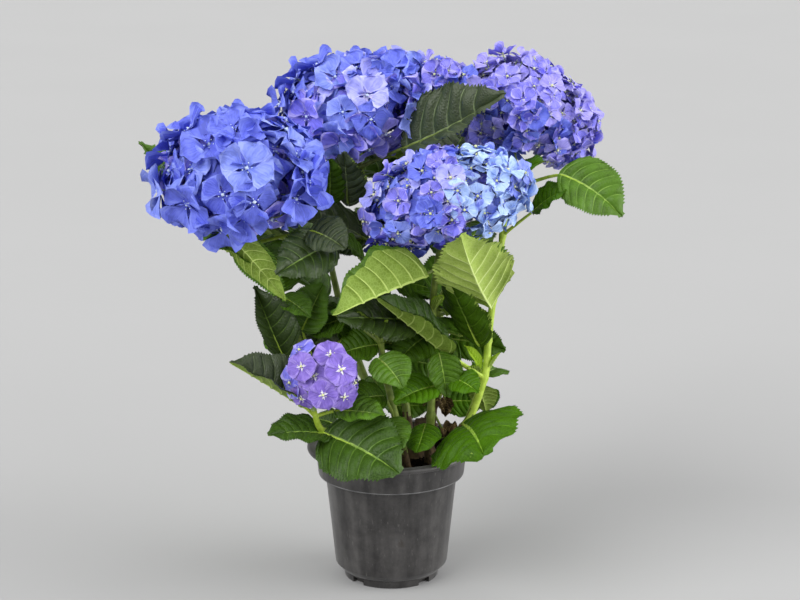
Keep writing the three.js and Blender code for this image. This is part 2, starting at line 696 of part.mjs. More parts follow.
// One floret of four broad sepals, a thin cupped plate whose middle is sunk in the core
function makeFloret(head, n) {
  const share = (n + 0.5) / head.florets;
  const height = 1 - HEAD_COVER * share;
  const angle = n * GOLDEN_ANGLE;
  const level = Math.sqrt(1 - height * height);
  const direction = new THREE.Vector3(level * Math.cos(angle), level * Math.sin(angle), height);
  const middle = headPoint(head, direction, head.depth + FLORET_INSET);
  const normal = direction.clone().divide(new THREE.Vector3(...head.radii)).normalize();
  normal.applyEuler(headTurn(head));
  const across = new THREE.Vector3(chance(n, 1) - 0.5, chance(n, 2) - 0.5, chance(n, 3) - 0.5);
  const side = across.addScaledVector(normal, -across.dot(normal)).normalize();
  const other = normal.clone().cross(side);
  const size = head.size * (SMALLEST_FLORET + FLORET_SIZE_SPREAD * chance(n, 4));
  const vertices = [];
  const corners = SEPALS * SEPAL_POINTS.length;
  for (let k = 0; k < corners; k++) {
    const [reach, lift] = SEPAL_POINTS[k % SEPAL_POINTS.length];
    const around = (2 * Math.PI * k) / corners;
    const point = middle
      .clone()
      .addScaledVector(side, size * reach * Math.cos(around))
      .addScaledVector(other, size * reach * Math.sin(around))
      .addScaledVector(normal, head.depth * lift);
    vertices.push(keptInside(head, point));
  }
  const rim = vertices.length;
  vertices.push(middle.clone().addScaledVector(normal, head.depth * FLORET_MIDDLE_LIFT));
  vertices.push(middle.clone().addScaledVector(normal, -FLORET_ROOT));
  const faces = [];
  for (let k = 0; k < rim; k++) {
    const next = (k + 1) % rim;
    faces.push([rim, k, next], [rim + 1, next, k]);
  }
  return solidOf(geometryOf(vertices, faces));
}

// A point drawn back towards the head's centre where it would leave the head's own space
function keptInside(head, point) {
  const centre = new THREE.Vector3(...head.centre);
  const turn = new THREE.Matrix4().makeRotationFromEuler(headTurn(head)).invert();
  const local = point.clone().sub(centre).applyMatrix4(turn).divide(new THREE.Vector3(...head.radii));
  const reach = Math.max(1, local.length());
  return point.clone().sub(centre).divideScalar(reach).add(centre);
}

function makeHead(head, cane) {
  const last = cane.joints.length - 1;
  const centre = new THREE.Vector3(...head.centre);
  const ahead = directionOn(cane, last);
  const foot = placeOn(cane, last).addScaledVector(ahead, SEAT);
  const stalk = limb([foot, centre], [CANE_TIP_RADIUS, STALK_RADIUS], CANE_SIDES, [ahead]);
  const florets = [];
  for (let n = 0; n < head.florets; n++) florets.push(makeFloret(head, n));
  return union([makeCore(head), ...florets, stalk]);
}

// Colour and roughness of each piece: by its whole name, or by its kind
const looks = {
  pot: [0x45464a, 0.6],
  soil: [0x1d1612, 1],
  woody_base: [0x4a3526, 0.9],
  cane: [0x7f9a3c, 0.55],
  leaves: [0x3a6624, 0.5],
  leaves_small: [0x4b8a2a, 0.5],
  leaves_dry: [0x8a6b3e, 0.85],
  head: [0x5f70d4, 0.7],
  head_right: [0x7a70d0, 0.7],
  head_small: [0x8a6ad0, 0.7],
};

function materialOf(name) {
  const [color, roughness] = looks[name] ?? looks[name.split("_")[0]];
  return new THREE.MeshStandardMaterial({ color, roughness, metalness: 0 });
}

const pieces = { pot: makePot(), soil: makeSoil(), woody_base: makeWoodyBase() };
for (const [name, head] of Object.entries(heads)) pieces[`head_${name}`] = makeHead(head, canes[name]);
for (const [name, cane] of Object.entries(canes))
  if (cane.bare > 0) pieces[`cane_${name}`] = makeBareCane(cane);
for (const [name, solid] of Object.entries(pieces)) stand(name, solid);
const stems = {};
for (const [name, cane] of Object.entries(canes)) {
  stems[name] = caneStretch(cane, cane.bare, cane.joints.length - 1);
  stand(name, stems[name]);
}
for (const [name, leaves] of Object.entries(growLeaves()))
  pieces[`leaves_${name}`] = largest(union([stems[name], ...leaves.filter(Boolean)]));

const plant = new THREE.Group();
for (const [name, solid] of Object.entries(pieces)) plant.add(meshOf(name, solid, materialOf(name)));

export default plant;
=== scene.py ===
"""A hydrangea shrub in bloom in a round nursery pot: leaves, canes, flower heads, root ball and pot.

Sizes are worked out in millimetres in the part's own frame and turned to metres when a mesh is made.
"""

import math

import bpy
import numpy as np
from mathutils import Euler, Matrix, Vector
from mathutils.kdtree import KDTree


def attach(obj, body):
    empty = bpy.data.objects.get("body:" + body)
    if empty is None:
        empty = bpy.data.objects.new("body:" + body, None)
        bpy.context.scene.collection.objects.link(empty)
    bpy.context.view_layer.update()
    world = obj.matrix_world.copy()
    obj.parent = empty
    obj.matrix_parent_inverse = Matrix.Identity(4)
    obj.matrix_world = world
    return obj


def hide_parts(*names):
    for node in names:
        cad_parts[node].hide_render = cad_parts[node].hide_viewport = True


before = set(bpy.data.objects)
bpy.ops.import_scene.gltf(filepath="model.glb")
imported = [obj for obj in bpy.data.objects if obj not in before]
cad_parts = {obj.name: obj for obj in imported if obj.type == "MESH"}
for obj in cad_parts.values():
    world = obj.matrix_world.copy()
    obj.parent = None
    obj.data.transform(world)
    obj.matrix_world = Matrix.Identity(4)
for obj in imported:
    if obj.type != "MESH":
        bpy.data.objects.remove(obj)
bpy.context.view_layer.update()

MM = 0.001
SOIL_Z = 128
GOLDEN_ANGLE = math.pi * (3 - math.sqrt(5))
# How high the photo is taken from, and the direction towards it
RISE = math.radians(15)
VIEW_SIDE = Vector((0, -math.cos(RISE), math.sin(RISE)))

# The growth rule's own numbers
LEAF_ROWS = (0.19, 0.48, 0.78)
LEAF_BREADTH = 0.62
LEAF_FOLD = 16
BLADE_STEPS = 40
SHOWN_TRIES = 400
WIDENING_TRIES = 200
UNSEEN_TRIES = 160
UNSEEN_SHRINK = 0.35
SHOWN_SHIFT = {"turn": 14, "lift": 12, "stalk": 6, "swing": 12, "rise": 10, "roll": 14}
CANE_FOOT_RADIUS = 4.6
CANE_TIP_RADIUS = 2.8
# A try is the one of the solids when this many of its seven corners are found within this distance
FOUND_CORNERS = 5
SAME_PLACE = 0.05

# What a leaf's row says: the leaf joint, the stalk's turn, lift and length, the blade's swing from it, its rise
# and droop, its length and breadth, its roll and its fold, in degrees and mm. Its tone follows, and True where
# the blade is turned over.
LEAF_KEYS = ("at", "turn", "lift", "stalk", "swing", "rise", "droop", "long", "wide", "roll", "fold")
# Each cane's leaf joints, the rows of its leaves that show from the front, and the joint and the turn of each
# leaf behind those
CANES = {
    "left": (
        [(6, -14, 128), (-34, -22, 176), (-76, -30, 232), (-108, -36, 292), (-126, -38, 338), (-138, -42, 366)],
        [
            (2, -165, 70, 40, 155, 65, 0, 55, 50, -70, 20, "mid"),
            (2, -135, 20, 44, -60, 65, -5, 80, 58, 45, 45, "shade"),
            (2, 155, 25, 28, 0, 25, 20, 34, 38, 30, 20, "mid"),
            (4, -150, -5, 12, 15, 45, 30, 70, 56, 20, 10, "mid"),
            (4, -20, 25, 80, -130, -10, 10, 75, 56, 45, 10, "shade"),
            (4.8, -120, 25, 52, 115, -45, 10, 90, 36, 80, 10, "mid"),
            (4.8, -22, 20, 66, -15, -5, 25, 45, 44, -40, 15, "dusky"),
            (4.8, 125, 14, 74, 45, 37, -10, 105, 48, 30, 20, "mid"),
        ],
        [(1, 110), (2, 40), (3, 60), (4, 90), (4.8, 95)],
    ),
    "centre": (
        [(20, 28, 128), (12, 40, 190), (0, 52, 260), (-12, 62, 330), (-24, 72, 386), (-34, 80, 418)],
        [
            (3, -115, -10, 36, -30, 55, 30, 45, 46, 30, 10, "deep"),
            (4, -115, -5, 46, 15, 75, 10, 65, 44, 20, 15, "dusky", True),
            (4.3, -130, -15, 56, 45, 75, 10, 55, 40, 20, 15, "deep", True),
            (4.8, -45, 25, 68, 20, 25, -10, 130, 84, -45, 30, "dusky"),
        ],
        [(2, 170), (3, 180), (3.5, 0), (4, -60), (4.8, 70), (4.8, 150)],
    ),
    "right": (
        [(42, -4, 150), (73, -20, 164), (94, -10, 213), (98, -2, 250), (103, 8, 290), (113, 30, 352),
         (122, 54, 406)],
        [
            (1, -95, 35, 10, 17, 15, 35, 92, 104, -30, -10, "bright"),
            (1, 65, 40, 50, 0, -45, 25, 40, 36, 10, 10, "bright"),
            (2, -140, 35, 56, -10, 40, 0, 110, 64, 20, 40, "fresh"),
            (2, 90, -10, 16, -25, 10, 30, 40, 40, -10, 10, "mid"),
            (3, -125, -10, 16, -20, 60, -5, 90, 60, -10, 10, "deep", True),
            (4, -105, 0, 30, -18, 40, -20, 145, 84, -25, 25, "light"),
            (5, -30, 40, 44, 5, 50, 30, 45, 46, -30, 10, "bright"),
            (5.8, -30, 22, 60, 5, -12, 35, 80, 64, -40, 10, "mid"),
            (5.8, -120, 25, 16, 70, 35, 10, 70, 44, -30, 10, "bright"),
        ],
        [(2, 150), (3, 140), (3, 90), (4, 100), (5, 95), (5.8, 100)],
    ),
    "front": (
        [(38, -28, 128), (40, -26, 178), (41, -24, 228), (41, -30, 286), (45, -40, 336), (49, -48, 362)],
        [
            (0.7, -105, 35, 22, 0, -25, 10, 40, 38, -10, -10, "bright"),
            (2, -80, -15, 34, -65, 5, 30, 55, 42, 25, 10, "bright"),
            (2, -50, -5, 32, 0, 0, 20, 40, 32, -30, 10, "bright"),
            (2.3, -75, 15, 26, 15, -60, 20, 45, 40, 0, 15, "deep"),
            (2.8, 65, -50, 14, 145, -10, 40, 50, 56, 30, 10, "deep"),
            (3, -155, -25, 16, 5, 15, 10, 95, 62, 40, 10, "shade"),
            (4, -110, 0, 26, -35, -10, 5, 115, 86, -55, 45, "mid"),
        ],
        [(2, 70), (3, 100), (4, 100)],
    ),
    "small": (
        [(4, -26, 128), (-36, -42, 166), (-66, -84, 180), (-76, -96, 206)],
        [
            (2.1, 0, -30, 8, -155, 19, 25, 66, 54, 15, 10, "fresh"),
            (2, -90, 5, 6, 55, -5, 20, 95, 84, -35, 5, "fresh"),
            (2.75, 170, 40, 14, 20, 35, 5, 87, 66, 20, 40, "dusky"),
            (2.75, 5, 15, 20, -30, 10, 15, 55, 42, -20, 10, "mid"),
        ],
        [],
    ),
    "middle": (
        [(16, -40, 128), (6, -46, 176), (-4, -50, 222), (-10, -52, 262)],
        [
            (1, -130, 60, 40, -5, 15, 20, 45, 40, 30, 10, "deep"),
            (1, -135, 25, 18, 75, -20, 20, 40, 36, -20, 5, "mid"),
            (2, -115, 55, 36, 65, -15, 30, 45, 44, -20, 10, "mid"),
            (2, 160, 75, 38, 35, 0, 20, 40, 46, 30, 10, "deep"),
            (3, 165, 20, 48, 30, -10, 20, 45, 48, 30, 10, "deep"),
        ],
        [(3, 120)],
    ),
    "back": (
        [(40, 34, 128), (46, 62, 190), (50, 88, 252), (50, 112, 316), (46, 128, 372)],
        [],
        [(1, 80), (2, -30), (2, 60), (3, 20), (3, 100), (3, -60), (4, 60), (4, 140)],
    ),
    "rear": (
        [(4, 26, 128), (-24, 56, 184), (-48, 84, 244), (-64, 104, 306), (-72, 112, 356)],
        [],
        [(1, 120), (2, 120), (2, -140), (3, 90), (3, -170), (3, -130), (4, 120), (4, -160)],
    ),
    "dry": (
        [(38, 3, 166), (46, -4, 186), (52, -7, 204)],
        [
            (0.5, -65, -30, 28, 25, 0, 20, 25, 24, -20, 35, "dry"),
            (1.5, -80, -20, 8, -65, -10, 20, 20, 16, 10, 45, "dry"),
            (1.8, -70, -30, 12, -20, -60, 10, 20, 20, 10, 45, "dry"),
        ],
        [],
    ),
}

# Each flower head's ellipsoid: centre, radii and lean to the right and to the front, its florets outside
# and inside, and how far a sepal reaches
HEADS = {
    "left": ((-149, -46, 428), (94, 86, 73), (-10, 6), 70, 36, 31.5),
    "centre": ((-39, 86, 472), (93, 80, 60), (-3, 4), 82, 36, 26),
    "right": ((136, 90, 468), (90, 76, 61), (22, 0), 184, 60, 17),
    "front": ((53, -50, 407), (97, 60, 55), (-15, 10), 146, 50, 17.5),
    "small": ((-66, -100, 240), (38, 36, 32), (4, 30), 14, 5, 18.5),
}
# Small lobes on a head's side: centre, radii and florets of each
LOBES = {
    "centre": [((0, 82, 505), (34, 26, 20), 14)],
    "right": [((50, 90, 503), (26, 24, 18), 16), ((98, 70, 446), (30, 22, 15), 16)],
    "front": [((12, -44, 364), (32, 22, 17), 14)],
}
# The small head's florets that show from the front: right, up and forward of the head's middle, in mm.
# The outer florets that the rule deals out give way to them where they face the view by more than SMALL_BACK.
SMALL_FLORETS = (
    (-8, 3, 24), (8, 23, 20), (-20, 12, 26), (18, 9, 30), (1, -15, 31), (21, -17, 24), (-22, 27, 8),
    (-31, -4, 8), (30, -4, 6), (-20, -19, 13),
)
SMALL_BACK = 0.1
# How far chance leans a floret: the large ones of two heads lie flatter, and so do those placed one by one
JITTER = {"left": 0.42, "centre": 0.5}
PLAIN_JITTER = 0.7
INNER_JITTER = 0.5
PLACED_JITTER = 0.3


def srgb(code):
    """An sRGB hex colour as linear numbers."""
    parts = [int(code[i : i + 2], 16) / 255 for i in (1, 3, 5)]
    return (*(c / 12.92 if c <= 0.04045 else ((c + 0.055) / 1.055) ** 2.4 for c in parts), 1.0)


def chance(n, salt):
    """A small repeatable random number from 0 to 1 for the nth of a kind, or for a whole array of them."""
    x = np.sin(n * 12.9898 + salt * 78.233) * 43758.5453
    return x - np.floor(x)


def add(tree, kind, inputs=None, **settings):
    """Adds a node with its settings, and its inputs as values or as links."""
    node = tree.nodes.new(kind)
    for key, value in settings.items():
        setattr(node, key, value)
    for key, value in (inputs or {}).items():
        if isinstance(value, bpy.types.NodeSocket):
            tree.links.new(value, node.inputs[key])
        else:
            node.inputs[key].default_value = value
    return node


def linked(name, data):
    """A new object in the scene."""
    thing = bpy.data.objects.new(name, data)
    bpy.context.scene.collection.objects.link(thing)
    return thing


def mesh_of(name, corners, faces=(), unit=MM):
    mesh = bpy.data.meshes.new(name)
    mesh.from_pydata((np.array(corners) * unit).tolist(), [], faces)
    return mesh


def plain_mesh(source):
    """An object's mesh with its modifiers applied."""
    bpy.context.view_layer.update()
    return bpy.data.meshes.new_from_object(source.evaluated_get(bpy.context.evaluated_depsgraph_get()))


def shade(mesh, sharp):
    """Shades a mesh smooth, apart from edges that turn by more than sharp degrees."""
    mesh.shade_smooth()
    mesh.set_sharp_from_angle(angle=math.radians(sharp))


def on_circle(k, sides, radius):
    angle = 2 * math.pi * k / sides
    return radius * math.cos(angle), radius * math.sin(angle)


# Finishes

def new_finish(name):
    """An empty finish with its tree, and the place on the piece that its patterns follow."""
    finish = bpy.data.materials.new(name)
    finish.use_nodes = True
    tree = finish.node_tree
    tree.nodes.clear()
    return finish, tree, add(tree, "ShaderNodeTexCoord").outputs["Object"]


def set_stops(ramp, first, last, *between):
    """Sets the stops of a colour ramp, each a place and a colour."""
    stops = ramp.color_ramp.elements
    stops[0].position, stops[0].color = first
    stops[1].position, stops[1].color = last
    for place, colour in between:
        stops.new(place).color = colour


def end_in_skin(tree, colour, height, relief, strength, skin):
    """Ends a finish's tree: bumps as high as relief in mm, and the surface with its own numbers."""
    bump = add(tree, "ShaderNodeBump", {"Height": height, "Distance": relief * MM, "Strength": strength})
    inputs = {"Base Color": colour, "Normal": bump.outputs["Normal"], **skin}
    shader = add(tree, "ShaderNodeBsdfPrincipled", inputs)
    add(tree, "ShaderNodeOutputMaterial", {"Surface": shader.outputs["BSDF"]})


def mottled(name, low, high, patch, roughness, grain, relief, specular=0.5, net=None):
    """A surface in two near colours in soft patches, with a fine grain: patch, grain and relief in mm.
    net is the colour of a net of fine veins, with meshes as wide as the grain."""
    finish, tree, place = new_finish(name)
    patches = add(tree, "ShaderNodeTexNoise", {"Vector": place, "Scale": 1 / (patch * MM), "Detail": 3.0})
    ramp = add(tree, "ShaderNodeValToRGB", {"Fac": patches.outputs["Fac"]})
    set_stops(ramp, (0.35, srgb(low)), (0.65, srgb(high)))
    colour = ramp.outputs["Color"]
    fine = {"Vector": place, "Scale": 1 / (grain * MM)}
    if net:
        height = add(tree, "ShaderNodeTexVoronoi", fine, feature="DISTANCE_TO_EDGE").outputs["Distance"]
        vein = {"Value": height, "From Max": 0.14, "To Min": 0.5, "To Max": 0.0}
        line = add(tree, "ShaderNodeMapRange", vein)
        mixed = add(tree, "ShaderNodeMix", {0: line.outputs[0], 6: colour, 7: srgb(net)}, data_type="RGBA")
        colour = mixed.outputs[2]
    else:
        height = add(tree, "ShaderNodeTexNoise", {**fine, "Detail": 2.0}).outputs["Fac"]
    end_in_skin(tree, colour, height, relief, 0.6, {"Roughness": roughness, "Specular IOR Level": specular})
    return finish


# Living leaf: a waxy skin over a fine net of veins gives a soft gloss broken into small cells. The net is
# drawn at 3 mm, coarser than life, so that it shows. Each tone is two near colours of the blade, then those
# of the net, the side veins and the midrib, and how strong and how rough the gloss is. The dull dark leaves
# show a grey sheen, the fresh ones only a little.
LEAF_TONES = {
    "deep": ("#304a05", "#3e5e0b", "#486a16", "#5a7c22", "#8aa648", 0.15, 0.5),
    # painted shade: the darkest, dullest green, for leaves deep inside the plant where shade falls on them
    "shade": ("#24340f", "#304317", "#3a4e1f", "#56702e", "#84a04c", 0.4, 0.4),
    "dusky": ("#2a361c", "#374427", "#435030", "#66764c", "#90a068", 0.38, 0.42),
    "mid": ("#3d5c0c", "#4e7418", "#587c2a", "#7a9c40", "#a8c068", 0.25, 0.46),
    "fresh": ("#274008", "#345010", "#456222", "#5e7e2e", "#98b454", 0.25, 0.44),
    "bright": ("#335600", "#426a03", "#4c760e", "#6e9828", "#a0c050", 0.15, 0.5),
    "young": ("#7fa01c", "#97b82a", "#9cbc34", "#a8c640", "#c4dc68", 0.15, 0.5),
}
FINISH = {
    # Leaf's lower side: matt and pale, with raised veins
    "leaf_under": mottled("leaf_underside_pale", "#6d852c", "#7f993c", 16, 0.6, 3.5, 0.6, 0.2, "#98b056"),
    "leaf_under_vein": mottled("leaf_underside_vein", "#a2b85a", "#b2c66e", 6, 0.6, 2, 0.2, 0.2),
    # The lower side again, brighter: painted light, for a blade that the lamps light through from behind
    "light_under": mottled("leaf_underside_sunlit", "#93ac4a", "#a6bd5a", 16, 0.55, 3.5, 0.8, 0.2, "#b4c672"),
    "light_under_vein": mottled("leaf_underside_sunlit_vein", "#c2d67c", "#d2e294", 6, 0.5, 2, 0.2, 0.3),
    # Withered leaf: dry, brittle and matt, in tans and browns
    "leaf_dry": mottled("leaf_withered_brown", "#33281a", "#6a5838", 5, 0.85, 1.5, 0.8, 0.2),
    "leaf_dry_vein": mottled("leaf_withered_vein", "#8a764c", "#a4905f", 5, 0.85, 1.5, 0.3, 0.2),
    # Young cane and flower stalk: smooth green skin, softly mottled, with a low gloss
    "cane_green": mottled("cane_young_green", "#9cb834", "#b6cf4e", 5, 0.45, 1.5, 0.2, 0.4),
    # Ripening cane: olive. The same olive on the leaf stalks of the shaded canes is painted shade
    "cane_olive": mottled("cane_ripening_olive_and_painted_shade", "#64762a", "#7e903c", 5, 0.5, 1.5, 0.3, 0.4),
    "stalk": mottled("flower_stalk_pale", "#86a05a", "#a2b676", 5, 0.5, 1.5, 0.2, 0.4),
    # Old cane: thin corky bark, matt and cracked
    "bark": mottled("bark_corky_brown", "#33281a", "#5a4a32", 4, 0.85, 1.2, 0.6, 0.25),
    # The bud in a floret's middle: a small waxy bead
    "eye_pale": mottled("floret_eye_pale_blue", "#bcd0ea", "#d6e2ee", 2, 0.5, 0.8, 0.2),
    "eye_green": mottled("floret_eye_yellow_green", "#cdd694", "#e2e6b0", 2, 0.5, 0.8, 0.2),
    # Root ball: moist peat, almost black, with brown fibres and crumbs
    "soil": mottled("soil_moist_peat", "#080605", "#14100d", 3, 0.95, 0.8, 1.0, 0.0),
    "crumb": mottled("soil_crumb_brown", "#0e0b09", "#2a2019", 4, 0.95, 0.8, 0.5, 0.0),
    # The collar's lower edge of the pot, rubbed pale and dull where pots stack into each other
    "pot_worn": mottled("pot_worn_edge", "#58585a", "#7c7c7c", 12, 0.6, 1.2, 0.1),
}
for tone, (low, high, net, vein, rib, gloss, roughness) in LEAF_TONES.items():
    FINISH["leaf_" + tone] = mottled("leaf_" + tone + "_green", low, high, 14, roughness, 3, 1.0, gloss, net)
    FINISH["vein_" + tone] = mottled("leaf_" + tone + "_vein", net, vein, 9, roughness, 2, 0.2, gloss)
    FINISH["rib_" + tone] = mottled("leaf_" + tone + "_midrib", vein, rib, 6, roughness, 2, 0.2, gloss)

SEPAL_PLACE = "sepal"
SEPAL_SHADE = 0.8


def satin(name, low, high):
    """A sepal's thin skin, satin and a little velvety: two near colours with a shade below them, and fine
    veins that fan out from its foot. The veins are drawn a little wider than life so that they show."""
    finish, tree, place = new_finish(name)
    patches = add(tree, "ShaderNodeTexNoise", {"Vector": place, "Scale": 1 / (9 * MM), "Detail": 2.0})
    spot = add(tree, "ShaderNodeUVMap", uv_map=SEPAL_PLACE).outputs[0]
    fan = add(tree, "ShaderNodeMapping", {"Vector": spot, "Scale": (6.0, 0.8, 1.0)}).outputs[0]
    shifted = add(tree, "ShaderNodeVectorMath", {0: place, 1: (60, 60, 60), 2: fan}, operation="MULTIPLY_ADD")
    veins = add(tree, "ShaderNodeTexNoise", {"Vector": shifted.outputs[0], "Scale": 1.5, "Detail": 3.0})
    both = add(tree, "ShaderNodeMath", {0: patches.outputs["Fac"], 1: veins.outputs["Fac"]}, operation="ADD")
    mean = add(tree, "ShaderNodeMath", {0: both.outputs[0], 1: 0.5}, operation="MULTIPLY")
    ramp = add(tree, "ShaderNodeValToRGB", {"Fac": mean.outputs[0]})
    shade_below = [SEPAL_SHADE * c for c in srgb(low)[:3]] + [1.0]
    set_stops(ramp, (0.4, shade_below), (0.6, srgb(high)), (0.48, srgb(low)))
    skin = {"Roughness": 0.55, "Specular IOR Level": 0.25}
    end_in_skin(tree, ramp.outputs["Color"], veins.outputs["Fac"], 0.9, 0.6, skin)
    return finish


# A sepal's slightly paler rim, and the heart of the floret, each a pair of near colours
for part, (low, high) in {
    "rim_blue": ("#7380e4", "#8491eb"),
    "rim_azure": ("#8a98eb", "#9ba9f1"),
    "rim_pale": ("#b2b4f4", "#c4c6f8"),
    "rim_sky": ("#b6cefd", "#c6daff"),
    "rim_lilac": ("#a8a2ee", "#b8b2f4"),
    "rim_indigo": ("#5150b0", "#5e5dbe"),
    "rim_purple": ("#8f7acf", "#a28eda"),
    "heart_blue": ("#5c66d6", "#6c74e0"),
    "heart_azure": ("#7486e6", "#8496ec"),
    "heart_violet": ("#6f68cc", "#7f78d8"),
    "heart_pale": ("#b4afe2", "#c8c4ec"),
    "heart_white": ("#dcd6f4", "#efecfa"),
    "heart_indigo": ("#33327e", "#3d3c8e"),
}.items():
    FINISH[part] = satin("sepal_" + part, low, high)
# Each sepal tone: a pair of near colours, and the finishes of its rim and its heart
SEPAL_TONES = {
    "azure": ("#7888e3", "#8998eb", "rim_azure", "heart_azure"),
    "sky": ("#a6c2fc", "#b8d0ff", "rim_sky", "heart_azure"),
    "blue": ("#6571dd", "#7480e6", "rim_blue", "heart_blue"),
    "deep_blue": ("#5863d4", "#6772de", "rim_blue", "heart_blue"),
    "violet": ("#8480ec", "#9490f6", "rim_lilac", "heart_violet"),
    "lilac": ("#9c94ee", "#aca5f6", "rim_lilac", "heart_pale"),
    "indigo": ("#4442b6", "#5250cc", "rim_indigo", "heart_indigo"),
    "purple": ("#7d66c4", "#9079d2", "rim_purple", "heart_white"),
    "mauve": ("#aaa6dc", "#bbb6e6", "rim_lilac", "heart_pale"),
    "pale": ("#9c9eee", "#acaef3", "rim_pale", "heart_pale"),
}
for tone, (low, high, *_) in SEPAL_TONES.items():
    FINISH["sepal_" + tone] = satin("sepal_satin_" + tone, low, high)


class Growth:
    """Collects the corners, faces and finishes of one joined piece, or the marks of a template's faces."""

    def __init__(self):
        self.points, self.faces, self.finishes = [], [], []
        self.numbers = {}
        self.count = 0

    def put(self, points, faces, finish):
        """finish is one name for all the faces, or a name for each."""
        self.points.append(np.asarray(points, float))
        self.faces += [[v + self.count for v in face] for face in faces]
        for name in [finish] * len(faces) if isinstance(finish, str) else finish:
            self.finishes.append(self.numbers.setdefault(name, len(self.numbers)))
        self.count += len(points)

    def mesh(self, name):
        mesh = mesh_of(name, np.concatenate(self.points), self.faces)
        mesh.polygons.foreach_set("material_index", self.finishes)
        for finish in self.numbers:
            mesh.materials.append(FINISH[finish])
        return mesh

    def piece(self, name, slot, nodes, sharp=50):
        mesh = self.mesh(name)
        shade(mesh, sharp)
        settle(linked(name, mesh), nodes)


def settle(piece, nodes):
    """Sets a finished piece on the root body, and hides the nodes of the solids that it stands for."""
    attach(piece, "root")
    if nodes:
        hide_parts(*nodes)


# Canes as curves through their joints

def place_on(joints, at):
    """The place at joint number at, on a smooth curve through the joints."""
    points = np.asarray(joints, float)
    i = min(int(at), len(points) - 2)
    w = at - i
    before = points[i - 1] if i > 0 else 2 * points[0] - points[1]
    after = points[i + 2] if i + 2 < len(points) else 2 * points[-1] - points[-2]
    start = 0.5 * (points[i + 1] - before)
    end = 0.5 * (after - points[i])
    step = points[i + 1] - points[i]
    return points[i] + w * start + w * w * (3 * step - 2 * start - end) + w**3 * (start + end - 2 * step)


def heading(turn, slope):
    """The direction at a compass turn and a slope, in degrees. Arrays give an array of directions."""
    t, s = np.radians(turn), np.radians(slope)
    t, s = np.broadcast_arrays(t, s)
    return np.stack([np.cos(t) * np.cos(s), np.sin(t) * np.cos(s), np.sin(s)], axis=-1)


def blade_half(s):
    """Half of a blade's width at share s of its length, as a share of the widest."""
    s = np.clip(s, 0, 1)
    return 0.5 * np.maximum(np.sin(np.pi * s**0.85), 0) ** 0.8


def blade_edge(s, round_leaf):
    """The same for the true outline: broad at its middle, drawn in to a small tip."""
    s = min(max(s, 0), 1)
    fullness = 0.6 if round_leaf else 0.74
    return 0.51 * max(math.sin(math.pi * s**0.8), 0) ** fullness * (1 - 0.3 * s**5)


# The leaves' rule: where each leaf of the solids came to stand

def over_tries(leaf, n):
    """A leaf's numbers, each as an array over the tries."""
    return {key: np.broadcast_to(value, n.shape).astype(float) for key, value in leaf.items()}


def shown_tries(row, seed):
    """All the tries at a leaf that shows: as listed at first, then moved by chance, further each time."""
    leaf = dict(zip(LEAF_KEYS, row))
    n = np.arange(SHOWN_TRIES)
    reach = np.minimum(1, n / WIDENING_TRIES)
    for k, (key, most) in enumerate(SHOWN_SHIFT.items()):
        leaf[key] = leaf[key] + most * reach * (2 * chance(seed + n, k + 1) - 1)
    return over_tries(leaf, n)


def unseen_tries(place, seed):
    """All the tries at a leaf that doesn't show, smaller the more tries have failed."""
    at, turn = place
    n = np.arange(UNSEEN_TRIES)

    def pick(low, high, salt):
        share = chance(seed + n, salt)
        return low * (1 - share) + high * share

    long = pick(98, 114, 1) * (1 - UNSEEN_SHRINK * n / UNSEEN_TRIES)
    rise = pick(6, 40, 2)
    leaf = {"at": at, "turn": turn + pick(-45, 45, 3), "lift": rise, "stalk": pick(16, 38, 4), "swing": 0}
    leaf.update(rise=rise, droop=pick(30, 64, 5), long=long, wide=long * LEAF_BREADTH, roll=pick(-14, 14, 6))
    leaf["fold"] = LEAF_FOLD
    return over_tries(leaf, n)


def blade_spine(leaf, start, shares):
    """The midrib's places and the blade's side and upward directions at shares of its length. Every value
    of leaf and start is an array over tries, and so are the results."""
    turn = leaf["turn"] + leaf["swing"]
    steps = (np.arange(BLADE_STEPS) + 0.5) / BLADE_STEPS
    slopes = leaf["rise"][:, None] - leaf["droop"][:, None] * steps
    moves = heading(turn[:, None], slopes) * (leaf["long"] / BLADE_STEPS)[:, None, None]
    walked = np.concatenate([np.zeros((len(turn), 1, 3)), np.cumsum(moves, axis=1)], axis=1)
    level = np.stack([np.sin(np.radians(turn)), -np.cos(np.radians(turn)), np.zeros(len(turn))], axis=-1)
    roll = np.radians(leaf["roll"])[:, None]
    spine = []
    for share in shares:
        exact = min(share * BLADE_STEPS, BLADE_STEPS)
        low = min(int(exact), BLADE_STEPS - 1)
        place = start + walked[:, low] + (exact - low) * (walked[:, low + 1] - walked[:, low])
        ahead = heading(turn, leaf["rise"] - leaf["droop"] * share)
        up = np.cross(level, ahead)
        right = level * np.cos(roll) + up * np.sin(roll)
        spine.append((place, right, np.cross(right, ahead)))
    return spine


def leaf_start(joints, leaf):
    root = place_on(joints, leaf["at"][0])
    return root + heading(leaf["turn"], leaf["lift"]) * leaf["stalk"][:, None]


def settled(node, joints, tries):
    """The try at which this leaf found its place in the solids, read off the corners of its mass."""
    start = leaf_start(joints, tries)
    whole = [round(share * BLADE_STEPS) / BLADE_STEPS for share in LEAF_ROWS]
    spine = blade_spine(tries, start, whole)
    exact = blade_spine(tries, start, LEAF_ROWS)
    fold = np.radians(tries["fold"])[:, None]
    corners = [blade_spine(tries, start, [1])[0][0]]
    for share, (place, _, _), (_, right, normal) in zip(LEAF_ROWS, spine, exact):
        half = (tries["wide"] * blade_half(share))[:, None]
        for side in (-1, 1):
            corners.append(place + right * (side * half * np.cos(fold)) + normal * (half * np.sin(fold)))
    for n in range(len(fold)):
        hits = sum(corner_trees[node].find(corner[n] * MM)[2] < SAME_PLACE * MM for corner in corners)
        if hits >= FOUND_CORNERS:
            return {key: value[n : n + 1] for key, value in tries.items()}
    return None


